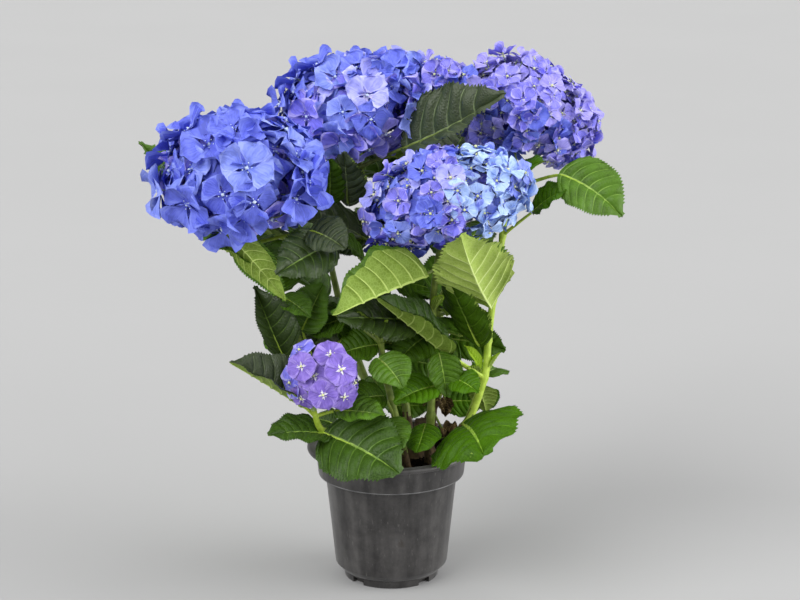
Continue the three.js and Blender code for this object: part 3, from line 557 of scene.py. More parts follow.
def tree_of(node):
    """The corners of a node of the solids, set out for finding the nearest one."""
    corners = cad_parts[node].data.vertices
    tree = KDTree(len(corners))
    for i, corner in enumerate(corners):
        tree.insert(corner.co, i)
    tree.balance()
    return tree


SEED_STEP = 1000
YOUNG_SEED = 90000
UNSEEN_TONES = ("deep", "mid", "dusky", "mid")
corner_trees = {"leaves_" + name: tree_of("leaves_" + name) for name in CANES}
# Each cane's leaves that found their place, as (leaf, tone, seed, turned over)
leaves = {name: [] for name in CANES}
seed = 0
for name, (joints, shown, _) in CANES.items():
    for row in shown:
        seed += SEED_STEP
        leaf = settled("leaves_" + name, joints, shown_tries(row, seed))
        if leaf:
            leaves[name].append((leaf, row[len(LEAF_KEYS)], seed, row[-1] is True))
for name, (joints, _, unseen) in CANES.items():
    for place in unseen:
        seed += SEED_STEP
        leaf = settled("leaves_" + name, joints, unseen_tries(place, seed))
        if leaf:
            leaves[name].append((leaf, UNSEEN_TONES[int(4 * chance(seed, 9))], seed, False))

# A blade's rows: each follows a side vein from the midrib to the margin, as (share of the midrib, share of
# the margin, whether a vein runs beside it, 1 at a tooth's tip and -1 between teeth, swell between veins)
VEIN_PAIRS = 6
TEETH_BETWEEN = 3
VEIN_BEND = 1.7
HALF_VEIN = (0.007, 0.002)
BASE_ENDS = (0.012, 0.05, 0.09, 0.135, 0.18, 0.225, 0.27)
TIP_ENDS = ((0.87, 0.945), (0.92, 0.97), (0.96, 0.987))


def vein_ends(v):
    """Where the vth side vein leaves the midrib and where it ends on the margin."""
    foot = 0.04 + 0.78 * v / VEIN_PAIRS
    return foot, foot + 0.29 * (1 - foot) ** 0.8


def blade_rows():
    """All the rows of a blade from its base to its tip."""
    rows = [(0.005 * k, end, 0, 2 * (k % 2) - 1, 0.15 * (k % 5)) for k, end in enumerate(BASE_ENDS)]
    for v in range(VEIN_PAIRS):
        (foot, end), (next_foot, next_end) = vein_ends(v), vein_ends(v + 1)
        rows.append((foot - HALF_VEIN[0], end - HALF_VEIN[1], 1, 1, 0.0))
        rows.append((foot + HALF_VEIN[0], end + HALF_VEIN[1], 0, 1, 0.0))
        steps = 2 * TEETH_BETWEEN
        for k in range(1, steps):
            share = k / steps
            along = (foot + share * (next_foot - foot), end + share * (next_end - end))
            rows.append((*along, 0, 1 - 2 * (k % 2), math.sin(math.pi * share) ** 0.8))
    rows += [(foot, end, 0, 2 * (k % 2) - 1, 0.2) for k, (foot, end) in enumerate(TIP_ENDS)]
    return rows


ROWS = blade_rows()
COLUMNS = (0.0, 0.034, 0.19, 0.37, 0.55, 0.73, 0.88, 1.0)

# The blade's relief, as shares of its breadth: how far the quilting swells and the margin sways, how round
# it is from midrib to margin, how deep the midrib's furrow is and how far a withered blade crumples
SWELL = 0.034
SWAY = 0.034
CROWN = 0.02
FURROW = 0.012
CRUMPLE = 0.1
# A tooth's reach as a share of the blade's length
TOOTH = 0.015
# How thick the blade is, and how far the midrib and a side vein stand out below it, in mm
BLADE_THICK = 0.45
RIB_THICK = 2.0
VEIN_THICK = 0.9


def leaf_finishes(tone):
    """A leaf's finishes: above, its side veins and its midrib, and below, the blade and its veins."""
    if tone == "dry":
        return "leaf_dry", "leaf_dry_vein", "leaf_dry_vein", "leaf_dry", "leaf_dry_vein"
    # A light leaf's lower side takes the brighter copy: painted light shining through the blade
    upper, under = ("mid", "light_under") if tone == "light" else (tone, "leaf_under")
    return "leaf_" + upper, "vein_" + upper, "rib_" + upper, under, under + "_vein"


def put_leaf(growth, leaf, joints, tone, seed, turned_over):
    """One leaf's blade: quilted, with sunken veins above and raised ones below."""
    start = leaf_start(joints, leaf)
    long, wide = leaf["long"][0], leaf["wide"][0]
    fold = math.radians(leaf["fold"][0])
    phase = 2 * math.pi * chance(seed, 11)
    waves = 2.2 + 1.6 * chance(seed, 12)
    dry = 1.0 if tone == "dry" else 0.0
    sway = wide * SWAY * (1 + dry * 3)
    swell = wide * SWELL
    facing = -1 if turned_over else 1
    last = len(COLUMNS) - 1
    width = 2 * last + 1
    sides = [(-1, k) for k in range(last, 0, -1)] + [(1, k) for k in range(last + 1)]
    top, under = [], []
    for j, (foot, end, _, tooth, puff) in enumerate(ROWS):
        half = wide * blade_edge(end, wide > 0.8 * long)
        for side, k in sides:
            t = COLUMNS[k]
            across = t * half
            share = foot + (end - foot) * t**VEIN_BEND
            if k == last:
                across += tooth * TOOTH * long
                share += 0.004 * tooth + 0.005
            share = min(share, 0.998)
            ((place, right, normal),) = blade_spine(leaf, start, [share])
            normal = normal[0] * facing
            raised = facing * half * math.sin(fold) * t**1.2
            raised += swell * puff * math.sin(math.pi * t) ** 0.6 if 0 < t < 1 else 0
            raised += wide * CROWN * math.sin(math.pi * t)
            raised += sway * t * t * math.sin(2 * math.pi * waves * share + phase + side)
            raised -= wide * FURROW * math.exp(-((t / 0.08) ** 2))
            raised += dry * wide * CRUMPLE * math.sin(9 * share + 7 * t * side + phase)
            point = place[0] + right[0] * (side * across * math.cos(fold)) + normal * raised
            thick = BLADE_THICK + RIB_THICK * (1 - share) * math.exp(-((t / 0.06) ** 2))
            thick += VEIN_THICK * (1 - 0.7 * t) if puff == 0.0 else 0.0
            top.append(point)
            under.append(point - normal * (0.0 if k == last or j == 0 else thick))
    tip = blade_spine(leaf, start, [1])[0][0][0]
    count = len(top)

    def corner(j, k, below):
        return j * width + k + (count if below and j > 0 and 0 < k < width - 1 else 0)

    blade, vein, rib, blade_below, vein_below = leaf_finishes(tone)
    dark_margin = tone != "light" and not turned_over
    faces, finishes = [], []
    for j in range(len(ROWS)):
        for k in range(width - 1):
            on_rib = abs(k + 0.5 - last) < 1
            on_vein = ROWS[j][2] and 0 < k < width - 2
            on_margin = k in (0, width - 2)
            for below in (False, True):
                a, b = corner(j, k, below), corner(j, k + 1, below)
                if j < len(ROWS) - 1:
                    face = (a, b, corner(j + 1, k + 1, below), corner(j + 1, k, below))
                else:
                    face = (a, b, 2 * count)
                faces.append(face[::-1] if below != turned_over else face)
                if below and not (on_margin and dark_margin):
                    finishes.append(vein_below if on_rib or on_vein else blade_below)
                else:
                    finishes.append(rib if on_rib else vein if on_vein else blade)
    growth.put(np.concatenate([top, under, [tip]]), faces, finishes)


def tube(points, radii, sides, relief=None):
    """A round limb through points, one radius for each, its ends closed. relief(ring, angle) adds to the
    radius. Returns its corners and its faces."""
    points = np.asarray(points, float)
    rings = len(points)
    ahead = np.gradient(points, axis=0)
    ahead /= np.linalg.norm(ahead, axis=1)[:, None]
    side = np.array([-ahead[0][1], ahead[0][0], 0.01])
    corners = []
    for i in range(rings):
        side = side - ahead[i] * side.dot(ahead[i])
        side /= np.linalg.norm(side)
        other = np.cross(ahead[i], side)
        for k in range(sides):
            angle = 2 * math.pi * k / sides
            radius = radii[i] + (relief(i, angle) if relief else 0)
            corners.append(points[i] + radius * (side * math.cos(angle) + other * math.sin(angle)))
    faces = []
    for i in range(rings - 1):
        for k in range(sides):
            a, b = i * sides + k, i * sides + (k + 1) % sides
            faces.append((a, b, b + sides, a + sides))
    faces.append(tuple(range(sides - 1, -1, -1)))
    faces.append(tuple(range((rings - 1) * sides, rings * sides)))
    return corners, faces


def smoothed(points):
    """A path with its corners eased and its two ends kept."""
    points = np.array(points, float)
    for _ in range(2):
        points[1:-1] = (points[:-2] + 2 * points[1:-1] + points[2:]) / 4
    return points


# A leaf stalk's radii from the cane to the blade, and then under the midrib, as (share of the blade, radius)
STALK_RADII = (2.7, 2.2, 1.9, 1.8, 1.7, 1.6)
RUN_OUT = ((0.05, 1.3), (0.12, 1.0), (0.22, 0.7), (0.34, 0.35))


def put_petiole(growth, leaf, joints, finish):
    """The leaf's stalk from inside the cane to under the blade, where it runs out along the midrib."""
    root = place_on(joints, leaf["at"][0])
    start = leaf_start(joints, leaf)
    points = [root + (start[0] - root) * share for share in (0, 0.2, 0.4, 0.6, 0.8, 1)]
    size = min(1, leaf["long"][0] / 70)
    for share, radius in RUN_OUT:
        ((place, _, normal),) = blade_spine(leaf, start, [share])
        points.append(place[0] - normal[0] * (0.3 + radius * 0.7) * size)
    radii = np.array([*STALK_RADII, *(radius for _, radius in RUN_OUT)])
    growth.put(*tube(smoothed(points), radii * (0.6 + 0.4 * size), 7), finish)


CANE_SIDES = 14
RINGS_PER_JOINT = 12
JOINT_SWELL = 0.9


def put_cane(growth, joints, woody_until, olive_until):
    """A cane with swollen leaf joints and fine lengthwise ribs, woody at its foot."""
    last = len(joints) - 1
    steps = RINGS_PER_JOINT * last
    at = np.linspace(0, last, steps + 1)
    radii = CANE_FOOT_RADIUS + (CANE_TIP_RADIUS - CANE_FOOT_RADIUS) * at / last
    near = np.abs(at - np.round(at))
    radii = radii + JOINT_SWELL * np.exp(-((near / 0.07) ** 2)) * (at > 0.5)
    points = [place_on(joints, a) for a in at]

    def relief(ring, angle):
        rough = 0.5 if points[ring][2] < woody_until else 0.15
        return rough * (chance(ring * 31 + round(angle * 7), 3) - 0.5) + 0.12 * math.cos(5 * angle)

    corners, faces = tube(points, radii, CANE_SIDES, relief)
    finishes = []
    for i in range(len(faces)):
        z = points[min(i // CANE_SIDES, steps)][2] + 14 * (chance(i, 5) - 0.5)
        finishes.append("bark" if z < woody_until else "cane_olive" if z < olive_until else "cane_green")
    growth.put(corners, faces, finishes)


# Young growth that the solids leave out: the cane of each leaf, then its row
YOUNG = [
    ("right", 2.02, 170, 62, 9, 0, 66, 20, 30, 15, 30, 34, "young"),
    ("right", 2.02, -150, 40, 8, 20, 44, 30, 22, 12, -20, 30, "young"),
    ("right", 2.02, 20, 66, 8, 0, 60, 20, 22, 11, 10, 34, "young"),
    ("front", 3.02, -60, 50, 7, 0, 56, 20, 24, 13, 20, 30, "young"),
    ("middle", 2.02, -60, 40, 8, 0, 44, 20, 26, 15, 20, 26, "fresh"),
    ("left", 3.02, -120, 50, 7, 0, 54, 20, 24, 13, 10, 30, "young"),
    ("back", 3.96, 60, 50, 34, 0, 44, 20, 74, 48, 0, 16, "shade"),
    ("back", 3.96, -10, 44, 40, 0, 30, 20, 66, 44, -20, 16, "shade"),
    ("back", 0.6, 5, 20, 10, 0, 5, 15, 46, 38, -55, 10, "bright"),
    ("back", 1.6, -15, 15, 12, 0, 0, 15, 62, 46, -50, 10, "deep"),
    ("rear", 0.62, 8, 20, 8, 0, 5, 15, 50, 34, -55, 10, "deep"),
    ("rear", 1.1, -60, 30, 14, 0, -20, 30, 50, 40, 0, 12, "mid"),
    ("centre", 1.35, -10, 20, 6, 0, 0, 20, 46, 36, -50, 10, "mid"),
    ("centre", 2.5, 0, 10, 8, 0, -5, 20, 56, 40, -50, 10, "deep"),
    ("centre", 3.1, 175, 20, 10, 0, 0, 20, 50, 38, 50, 10, "shade"),
    ("small", 1.4, 130, 25, 10, 0, 5, 20, 36, 28, 40, 10, "fresh"),
    ("left", 3.2, -40, 30, 8, 0, -10, 25, 40, 32, -20, 12, "mid"),
    ("right", 5.8, 170, 45, 12, 0, 45, 10, 50, 40, 40, 10, "shade"),
]
# Each flowerless cane ends in a bud of leaves in two crossed pairs, the later one smaller and steeper
for name, turn in (("back", 20), ("rear", 60), ("middle", 30)):
    top = len(CANES[name][0]) - 1.02
    for k in range(4):
        late = k // 2
        size = 46 - 22 * late
        YOUNG.append(
            (name, top, turn + 180 * k + 90 * late, 60 + 12 * late, 12 - 4 * late, 0, 58 + 16 * late, 30,
             size, size * 0.52, 0, 26 + 14 * late, ("fresh", "young")[late])
        )
for n, (name, *numbers, tone) in enumerate(YOUNG):
    leaf = {key: np.array([float(value)]) for key, value in zip(LEAF_KEYS, numbers)}
    leaves[name].append((leaf, tone, YOUNG_SEED + n, False))

# The heights in mm up to which each cane is woody, and then olive
CANE_TONES = {
    "left": (150, 300), "centre": (155, 420), "right": (152, 172), "front": (150, 420), "small": (140, 160),
    "middle": (145, 270), "back": (160, 300), "rear": (155, 300), "dry": (195, 200),
}
# The leaf stalks on these canes take the young cane's green; those on the other canes, deeper in the plant,
# take the darker olive as painted shade
SUNLIT_CANES = ("right", "small", "left")
canes = Growth()
for name, (joints, _, _) in CANES.items():
    put_cane(canes, joints, *CANE_TONES[name])
    for leaf, *_ in leaves[name]:
        put_petiole(canes, leaf, joints, "cane_green" if name in SUNLIT_CANES else "cane_olive")
canes.piece("canes_and_leaf_stalks", "cane", ["cane_" + name for name in CANES if name != "dry"])

for name, (joints, _, _) in CANES.items():
    growth = Growth()
    for leaf, tone, leaf_seed, turned_over in leaves[name]:
        put_leaf(growth, leaf, joints, tone, leaf_seed, turned_over)
    growth.piece("foliage_" + name, "dry_leaves" if name == "dry" else "leaves", ["leaves_" + name])


# Flower heads

def end_in_material(tree, geometry, finishes):
    """Ends a tree as the export needs it: real geometry, and its finishes set, as (which faces, finish)."""
    dressed = add(tree, "GeometryNodeRealizeInstances", {"Geometry": geometry}).outputs[0]
    for which, finish in finishes:
        inputs = {"Geometry": dressed, "Material": finish}
        if which is not None:
            inputs["Selection"] = which
        dressed = add(tree, "GeometryNodeSetMaterial", inputs).outputs[0]
    add(tree, "NodeGroupOutput", {"Geometry": dressed})


def new_tree(name, inputs):
    """A geometry tree with these named inputs, each a number to start from or what kind of thing it takes."""
    tree = bpy.data.node_groups.new(name, "GeometryNodeTree")
    tree.interface.new_socket("Geometry", in_out="OUTPUT", socket_type="NodeSocketGeometry")
    tree.interface.new_socket("Geometry", in_out="INPUT", socket_type="NodeSocketGeometry")
    for label, start in inputs.items():
        kind = start if isinstance(start, str) else "Int" if isinstance(start, int) else "Float"
        socket = tree.interface.new_socket(label, in_out="INPUT", socket_type="NodeSocket" + kind)
        if start != kind:
            socket.default_value = start
    return tree, tree.nodes.new("NodeGroupInput").outputs


def grown(name, source, tree, values):
    """The plain mesh that a tree makes from a source object. The source is removed."""
    modifier = source.modifiers.new("growth", "NODES")
    modifier.node_group = tree
    for item in tree.interface.items_tree:
        if item.in_out == "INPUT" and item.name in values:
            modifier[item.identifier] = values[item.name]
    mesh = plain_mesh(source)
    mesh.name = name
    bpy.data.objects.remove(source)
    return mesh


def floret_tree():
    """Sets a template on every point, turned and scaled by the point's own numbers."""
    finishes = {"Finish": "Material", "Rim Finish": "Material", "Heart Finish": "Material"}
    tree, given = new_tree("florets_on_points", {"Template": "Object", **finishes, "Size": 1.0})
    own = {}
    kinds = {"tilt": "FLOAT_VECTOR", "spread": "FLOAT", "rim": "BOOLEAN", "heart": "BOOLEAN"}
    for label, kind in kinds.items():
        own[label] = add(tree, "GeometryNodeInputNamedAttribute", {"Name": label}, data_type=kind).outputs[0]
    shape = add(tree, "GeometryNodeObjectInfo", {"Object": given["Template"]})
    size = add(tree, "ShaderNodeMath", {0: own["spread"], 1: given["Size"]}, operation="MULTIPLY")
    points = add(tree, "GeometryNodeMeshToPoints", {"Mesh": given["Geometry"]})
    florets = add(
        tree,
        "GeometryNodeInstanceOnPoints",
        {
            "Points": points.outputs[0],
            "Instance": shape.outputs["Geometry"],
            "Rotation": own["tilt"],
            "Scale": size.outputs[0],
        },
    )
    rim, heart = (own["rim"], given["Rim Finish"]), (own["heart"], given["Heart Finish"])
    end_in_material(tree, florets.outputs[0], [(None, given["Finish"]), rim, heart])
    return tree


def stalk_tree():
    """A round stalk along every curve, as thick as the curve's radius."""
    tree, given = new_tree("stalks_on_curves", {"Sides": 5, "Finish": "Material"})
    ring = add(tree, "GeometryNodeCurvePrimitiveCircle", {"Resolution": given["Sides"], "Radius": 1.0})
    radius = add(tree, "GeometryNodeInputRadius")
    body = add(
        tree,
        "GeometryNodeCurveToMesh",
        {
            "Curve": given["Geometry"],
            "Profile Curve": ring.outputs["Curve"],
            "Scale": radius.outputs[0],
            "Fill Caps": True,
        },
    )
    end_in_material(tree, body.outputs[0], [(None, given["Finish"])])
    return tree


SEPAL_ALONG = (0.05, 0.24, 0.46, 0.68, 0.88, 1.0)
SEPAL_ACROSS = (-1, -0.68, 0, 0.68, 1)
# Kinds of floret, each (cup across, rise outwards, twist about its length, wave, curl back of the tip,
# half breadth). The last one is the flat floret with a white star.
FLORET_KINDS = (
    (0.14, 0.06, 0.10, 0.06, 0.14, 0.62),
    (0.34, 0.24, -0.12, 0.08, 0.10, 0.58),
    (-0.20, 0.02, 0.14, 0.09, 0.18, 0.62),
    (0.34, 0.52, 0.14, 0.08, 0.22, 0.56),
    (0.06, 0.12, -0.16, 0.10, 0.28, 0.60),
    (0.06, -0.02, 0.05, 0.04, 0.10, 0.70),
)
# The number of the last kind, and how many plain kinds come before it
STAR_KIND = len(FLORET_KINDS) - 1
# How quickly a sepal broadens from its foot, where a gap shows beside the floret's eye, and in its outer part
FOOT_TAPER = 1.7
OUTER_TAPER = 0.68
# How far two neighbouring sepals lie one above the other, and how deep the fold along a sepal is
OVERLAP = 0.07
STAR_OVERLAP = 0.03
CREASE = 0.04
# An arm of the star: places along a sepal with its half breadths, where it ends, and how high it lies
STAR_ARM = ((0.12, 0.07), (0.22, 0.035))
STAR_REACH = 0.33
STAR_ABOVE = 0.015


def sepal_shape(kind, k):
    """One sepal of a floret whose sepals reach 1: four faces across and five along, cupped, waved and
    creased along its middle. Returns its corners, their places on it, its faces and which are rim or heart."""
    cup, rise, twist, wave, curl, broad = FLORET_KINDS[kind]
    star = kind == STAR_KIND
    reach = 1 - (0.05 if star else 0.2) * chance(kind * 7 + k, 21)
    breadth = broad * (1 - 0.16 * chance(kind * 5 + k, 22))
    phase = 6 * chance(kind * 11 + k, 23)
    above = (STAR_OVERLAP if star else OVERLAP) * (k % 2)

    def spot(a, b):
        """The place at share a of the sepal's length and share b of its half breadth."""
        swell = math.sin(math.pi * min(a, 0.985) ** 1.35)
        half = max(0.04, breadth * swell ** (FOOT_TAPER if a < 0.6 and not star else OUTER_TAPER))
        # the tip's row is drawn back at its sides, so the sepal ends in a soft point
        r = (a - 0.13 * b * b * a**3) * reach
        lift = rise * a * a * (1.3 - 0.3 * a) - curl * a**4
        crease = CREASE * (b == 0) * math.sin(math.pi * a)
        z = lift - crease + cup * b * b * half + twist * b * a + wave * math.sin(6 * a + 2 * b + phase) * a
        return r, b * half, z + above

    places = [(b, a) for a in SEPAL_ALONG for b in SEPAL_ACROSS]
    corners = [spot(a, b) for b, a in places]
    faces, marks = [], []
    width = len(SEPAL_ACROSS)
    for i in range(len(SEPAL_ALONG) - 1):
        for j in range(width - 1):
            a = i * width + j
            faces.append((a, a + width, a + width + 1, a + 1))
            outside = i == len(SEPAL_ALONG) - 2 or j in (0, width - 2)
            marks.append(("" if star else "heart") if i == 0 else "rim" if outside else "")
    if star:
        first = len(corners)
        outline = [(0.04, 0)] + [(a, side * w) for a, w in STAR_ARM for side in (-1, 1)] + [(STAR_REACH, 0)]
        for a, across in outline:
            r, _, z = spot(a, 0)
            corners.append((r, across, z + STAR_ABOVE + CREASE * math.sin(math.pi * a)))
            places.append((0, a))
        arm = [(0, 1, 2), (1, 3, 4, 2), (3, 5, 4)]
        faces += [[first + v for v in face] for face in arm]
        marks += ["heart"] * len(arm)
    return np.array(corners), places, faces, marks


def template(name, parts):
    """A hidden mesh that a tree repeats, with its rim and heart marked."""
    whole, places = Growth(), []
    for corners, part_places, faces, marks in parts:
        whole.put(corners, faces, marks)
        places += part_places
    mesh = mesh_of(name, np.concatenate(whole.points), whole.faces, 1)
    for mark in ("rim", "heart"):
        number = whole.numbers.get(mark)
        marked = mesh.attributes.new(mark, "BOOLEAN", "FACE")
        marked.data.foreach_set("value", [own == number for own in whole.finishes])
    on_sepal = mesh.uv_layers.new(name=SEPAL_PLACE)
    for loop in mesh.loops:
        on_sepal.data[loop.index].uv = places[loop.vertex_index]
    mesh.shade_smooth()
    return bpy.data.objects.new(name, mesh)


def floret_template(kind):
    parts = []
    for k in range(4):
        corners, *rest = sepal_shape(kind, k)
        turn = math.pi / 2 * k + 0.2 * (chance(kind * 3 + k, 24) - 0.5)
        spun = corners.copy()
        spun[:, 0] = corners[:, 0] * math.cos(turn) - corners[:, 1] * math.sin(turn)
        spun[:, 1] = corners[:, 0] * math.sin(turn) + corners[:, 1] * math.cos(turn)
        parts.append((spun, *rest))
    return template(f"floret_{kind}", parts)


# The bud in a floret's middle, and the heads of its stamens: reach, half size and height
EYE_BUD = (0.0, 0.085, 0.07)
STAMEN = (0.15, 0.028, 0.11)
STAMENS = 5


def eye_template():
    """The closed bud in a floret's middle with a few stamens' heads round it."""
    bead = np.array([(1, 0, 0), (0, 1, 0), (-1, 0, 0), (0, -1, 0), (0, 0, 1), (0, 0, -1)], float)
    faces = [(0, 1, 4), (1, 2, 4), (2, 3, 4), (3, 0, 4), (1, 0, 5), (2, 1, 5), (3, 2, 5), (0, 3, 5)]
    parts = []
    for k in range(STAMENS + 1):
        reach, size, height = EYE_BUD if k == 0 else STAMEN
        middle = np.array([*on_circle(k, STAMENS, reach), height])
        parts.append((middle + size * bead, [(0, 0)] * len(bead), faces, [""] * len(faces)))
    return template("floret_eye", parts)


FLORETS = floret_tree()
STALKS = stalk_tree()
TEMPLATES = [floret_template(kind) for kind in range(len(FLORET_KINDS))]
EYE = eye_template()


def head_turn(lean):
    right, front = (math.radians(angle) for angle in lean)
    return np.array(Euler((front, 0, 0)).to_matrix() @ Euler((0, right, 0)).to_matrix())


def set_on(name, places, tilts, spreads, shape, finish, rim=None, heart=None):
    """The template set on every place, as one mesh."""
    mesh = mesh_of("places", places)
    tilt = mesh.attributes.new("tilt", "FLOAT_VECTOR", "POINT")
    tilt.data.foreach_set("vector", np.array(tilts, float).ravel())
    spread = mesh.attributes.new("spread", "FLOAT", "POINT")
    spread.data.foreach_set("value", np.array(spreads, float))
    values = {"Template": shape, "Finish": FINISH[finish], "Size": MM}
    values["Rim Finish"] = FINISH[rim or finish]
    values["Heart Finish"] = FINISH[heart or finish]
    return grown(name, linked("places", mesh), FLORETS, values)


def stalks_along(name, paths, sides):
    """Stalks through the points of each path, as (place, radius) in mm."""
    curve = bpy.data.curves.new(name, "CURVE")
    curve.dimensions = "3D"
    for path in paths:
        spline = curve.splines.new("POLY")
        spline.points.add(len(path) - 1)
        for point, (place, radius) in zip(spline.points, path):
            point.co = (*(np.asarray(place) * MM), 1)
            point.radius = radius * MM
    return grown(name, linked(name, curve), STALKS, {"Sides": sides, "Finish": FINISH["stalk"]})


def joined(name, meshes):
    """Several plain meshes as one piece, each keeping its finish."""
    parts = [linked(name, mesh) for mesh in meshes]
    whole = parts[0]
    chosen = {"active_object": whole, "object": whole, "selected_objects": parts}
    with bpy.context.temp_override(selected_editable_objects=parts, **chosen):
        bpy.ops.object.join()
    whole.name = name
    whole.data.name = name
    return whole


# The tones that a large head's florets are dealt outside: how high in the head the second list begins, as
# a share, then the tones below and above
OUTER_TONES = {
    "left": (-0.15, "violet blue blue", "blue azure blue deep_blue"),
    "centre": (-0.1, "violet azure lilac", "blue azure violet azure blue pale"),
    "right": (0.35, "violet lilac blue lilac violet", "lilac mauve violet lilac violet"),
    # painted shade: the front head's lower florets take the darkest blues, indigo among them, for the shade
    # under the head
    "front": (-0.25, "deep_blue indigo indigo violet", "azure blue violet pale blue"),
}
# The inner florets, deep in the head, are dealt darker and more saturated blues, indigo among them: painted
# shade. As above, the height where the second list begins, then the two lists
INNER_TONES = (0.3, "indigo deep_blue violet", "deep_blue violet")
# The front head's side in the sun, and its lobe in the shade
SUNLIT_SIDE = 0.2
SUNLIT_TONES = "sky azure sky sky"
SHADED_TONES = "indigo deep_blue indigo"
# The small head is purple, but violet inside, and so are its placed florets left of here, in mm
SMALL_EDGE = -21


def tone_of(name, n, local, layer):
    """The nth floret's tone, by chance and by its place in the head. local is its direction from the
    head's middle in the head's own frame, or in mm to the right, up and forward where it is placed."""
    right, _, up = local
    if name == "small":
        return "purple" if layer == "outer" and right > SMALL_EDGE else "violet"
    height, low, high = INNER_TONES if layer == "inner" else OUTER_TONES[name]
    tones = low if up < height else high
    if name == "front" and layer == "lobe":
        tones = SHADED_TONES
    elif name == "front" and layer == "outer" and right > SUNLIT_SIDE:
        tones = SUNLIT_TONES
    tones = tones.split()
    return tones[int(len(tones) * chance(n, 31 + len(name)))]


# How far a sepal's tip may stand out of a large head, as a share of its radii, and how a tip rises
HEAD_LIMIT = 1.05
TIP_RISE = 0.3


def kept_inside(middle, facing, spread, centre, turn, radii):
    """A floret's middle, drawn towards the head's middle where the sepals' tips would leave the head."""
    tips = np.array([(1, 0, TIP_RISE), (0, 1, TIP_RISE), (-1, 0, TIP_RISE), (0, -1, TIP_RISE)]) * spread
    out = (middle + tips @ facing.T - centre) @ turn / radii
    excess = max(0, np.linalg.norm(out, axis=1).max() - HEAD_LIMIT)
    return centre + (middle - centre) * (1 - excess)


def dealt_round(n, count, span, turn):
    """The direction of the nth of count things, dealt evenly round a middle from the top down. At a span
    of 2 they reach the bottom."""
    height = 1 - span * (n + 0.5) / count
    angle = n * GOLDEN_ANGLE + turn
    level = math.sqrt(1 - height * height)
    return np.array([level * math.cos(angle), level * math.sin(angle), height])


# How far down a head its florets are dealt, and how far chance turns them round it
FLORET_SPAN = 1.66
FLORET_ASTRAY = 0.35
# How deep a floret sits in its head, as a share of the radii, and what chance adds to that outside
INNER_DEPTH = 0.42
OUTER_DEPTH = 0.12
DEPTH_BY_CHANCE = 0.19
# How far the small head's placed florets turn from the view to the side
FANNED = 0.55
# The share of the nominal reach that every floret has, and what chance adds to it
SURE_REACH = 0.86
REACH_BY_CHANCE = 0.2
# The heads whose florets have a small pale eye: the others' is green and larger
PALE_EYED = ("left", "centre")
GREEN_EYE_SIZE = 1.3


def make_head(name):
    """One flower head: its florets, dealt out over its ellipsoid and its lobes, and their stalks."""
    centre, radii, lean, outer, inner, reach = HEADS[name]
    centre, radii = np.array(centre, float), np.array(radii, float)
    turn = head_turn(lean)
    small = name == "small"
    sets, places = {}, []

    def put_floret(n, middle, normal, layer, jitter, local):
        """Puts in the nth floret of a layer, leaned and turned by chance. local is as in tone_of."""
        lean_by = np.array([chance(n, salt) - 0.5 for salt in (42, 43, 44)])
        normal = normal / np.linalg.norm(normal) + jitter * lean_by
        facing = Vector(normal).to_track_quat("Z", "Y").to_matrix()
        facing = facing @ Matrix.Rotation(2 * math.pi * chance(n, 45), 3, "Z")
        tilt = tuple(facing.to_euler("XYZ"))
        spread = reach * (SURE_REACH + REACH_BY_CHANCE * chance(n, 46))
        if layer != "lobe" and not small:
            middle = kept_inside(middle, np.array(facing), spread, centre, turn, radii)
        tone = tone_of(name, n, local, layer)
        kind = STAR_KIND if small and layer == "outer" else int(STAR_KIND * chance(n, 47))
        sets.setdefault((tone, kind), []).append((middle, tilt, spread))
        places.append((middle, normal / np.linalg.norm(normal), layer, tilt, spread))

    if small:
        across, up = Vector((1, 0, 0)), Vector((0, math.sin(RISE), math.cos(RISE)))
        for n, (a, b, c) in enumerate(SMALL_FLORETS):
            middle = centre + np.array(across * a + up * b + VIEW_SIDE * c)
            normal = np.array(across * (FANNED * a) + up * (FANNED * b) + VIEW_SIDE * c)
            put_floret(n, middle, normal, "outer", PLACED_JITTER, (a, b, c))
    layers = [("outer", centre, radii, outer), ("inner", centre, radii, inner)]
    layers += [("lobe", *lobe) for lobe in LOBES.get(name, [])]
    for layer, about, half_sizes, count in layers:
        jitter = INNER_JITTER if layer == "inner" else JITTER.get(name, PLAIN_JITTER)
        for n in range(count):
            local = dealt_round(n, count, FLORET_SPAN, FLORET_ASTRAY * (chance(n, 40) - 0.5))
            if small and layer == "outer" and (turn @ local) @ np.array(VIEW_SIDE) > SMALL_BACK:
                continue
            depth = INNER_DEPTH if layer == "inner" else OUTER_DEPTH + DEPTH_BY_CHANCE * chance(n, 41)
            middle = np.array(about) + turn @ (np.array(half_sizes) * (1 - depth) * local)
            put_floret(n, middle, turn @ (local / np.array(half_sizes)), layer, jitter, local)
    meshes = []
    for (tone, kind), members in sets.items():
        parts = SEPAL_TONES[tone][2:]
        meshes.append(set_on("sepals", *zip(*members), TEMPLATES[kind], "sepal_" + tone, *parts))
    eye_finish, eye_size = ("eye_pale", 1.0) if name in PALE_EYED else ("eye_green", GREEN_EYE_SIZE)
    eyes = [(m, t, s * eye_size) for m, _, layer, t, s in places if layer != "inner"]
    meshes.append(set_on("eyes", *zip(*eyes), EYE, eye_finish))
    settle(joined("bloom_" + name, meshes), ["head_" + name])
    make_cyme(name, centre, radii, turn, places)


# A head's rays: how many there are, how far down they spread, and where their hub and their ends lie, as a
# share of the way to the head's middle and of its radii
RAYS = 12
RAY_SPAN = 1.5
HUB_SHARE = 0.45
KNOT_SHARE = 0.45


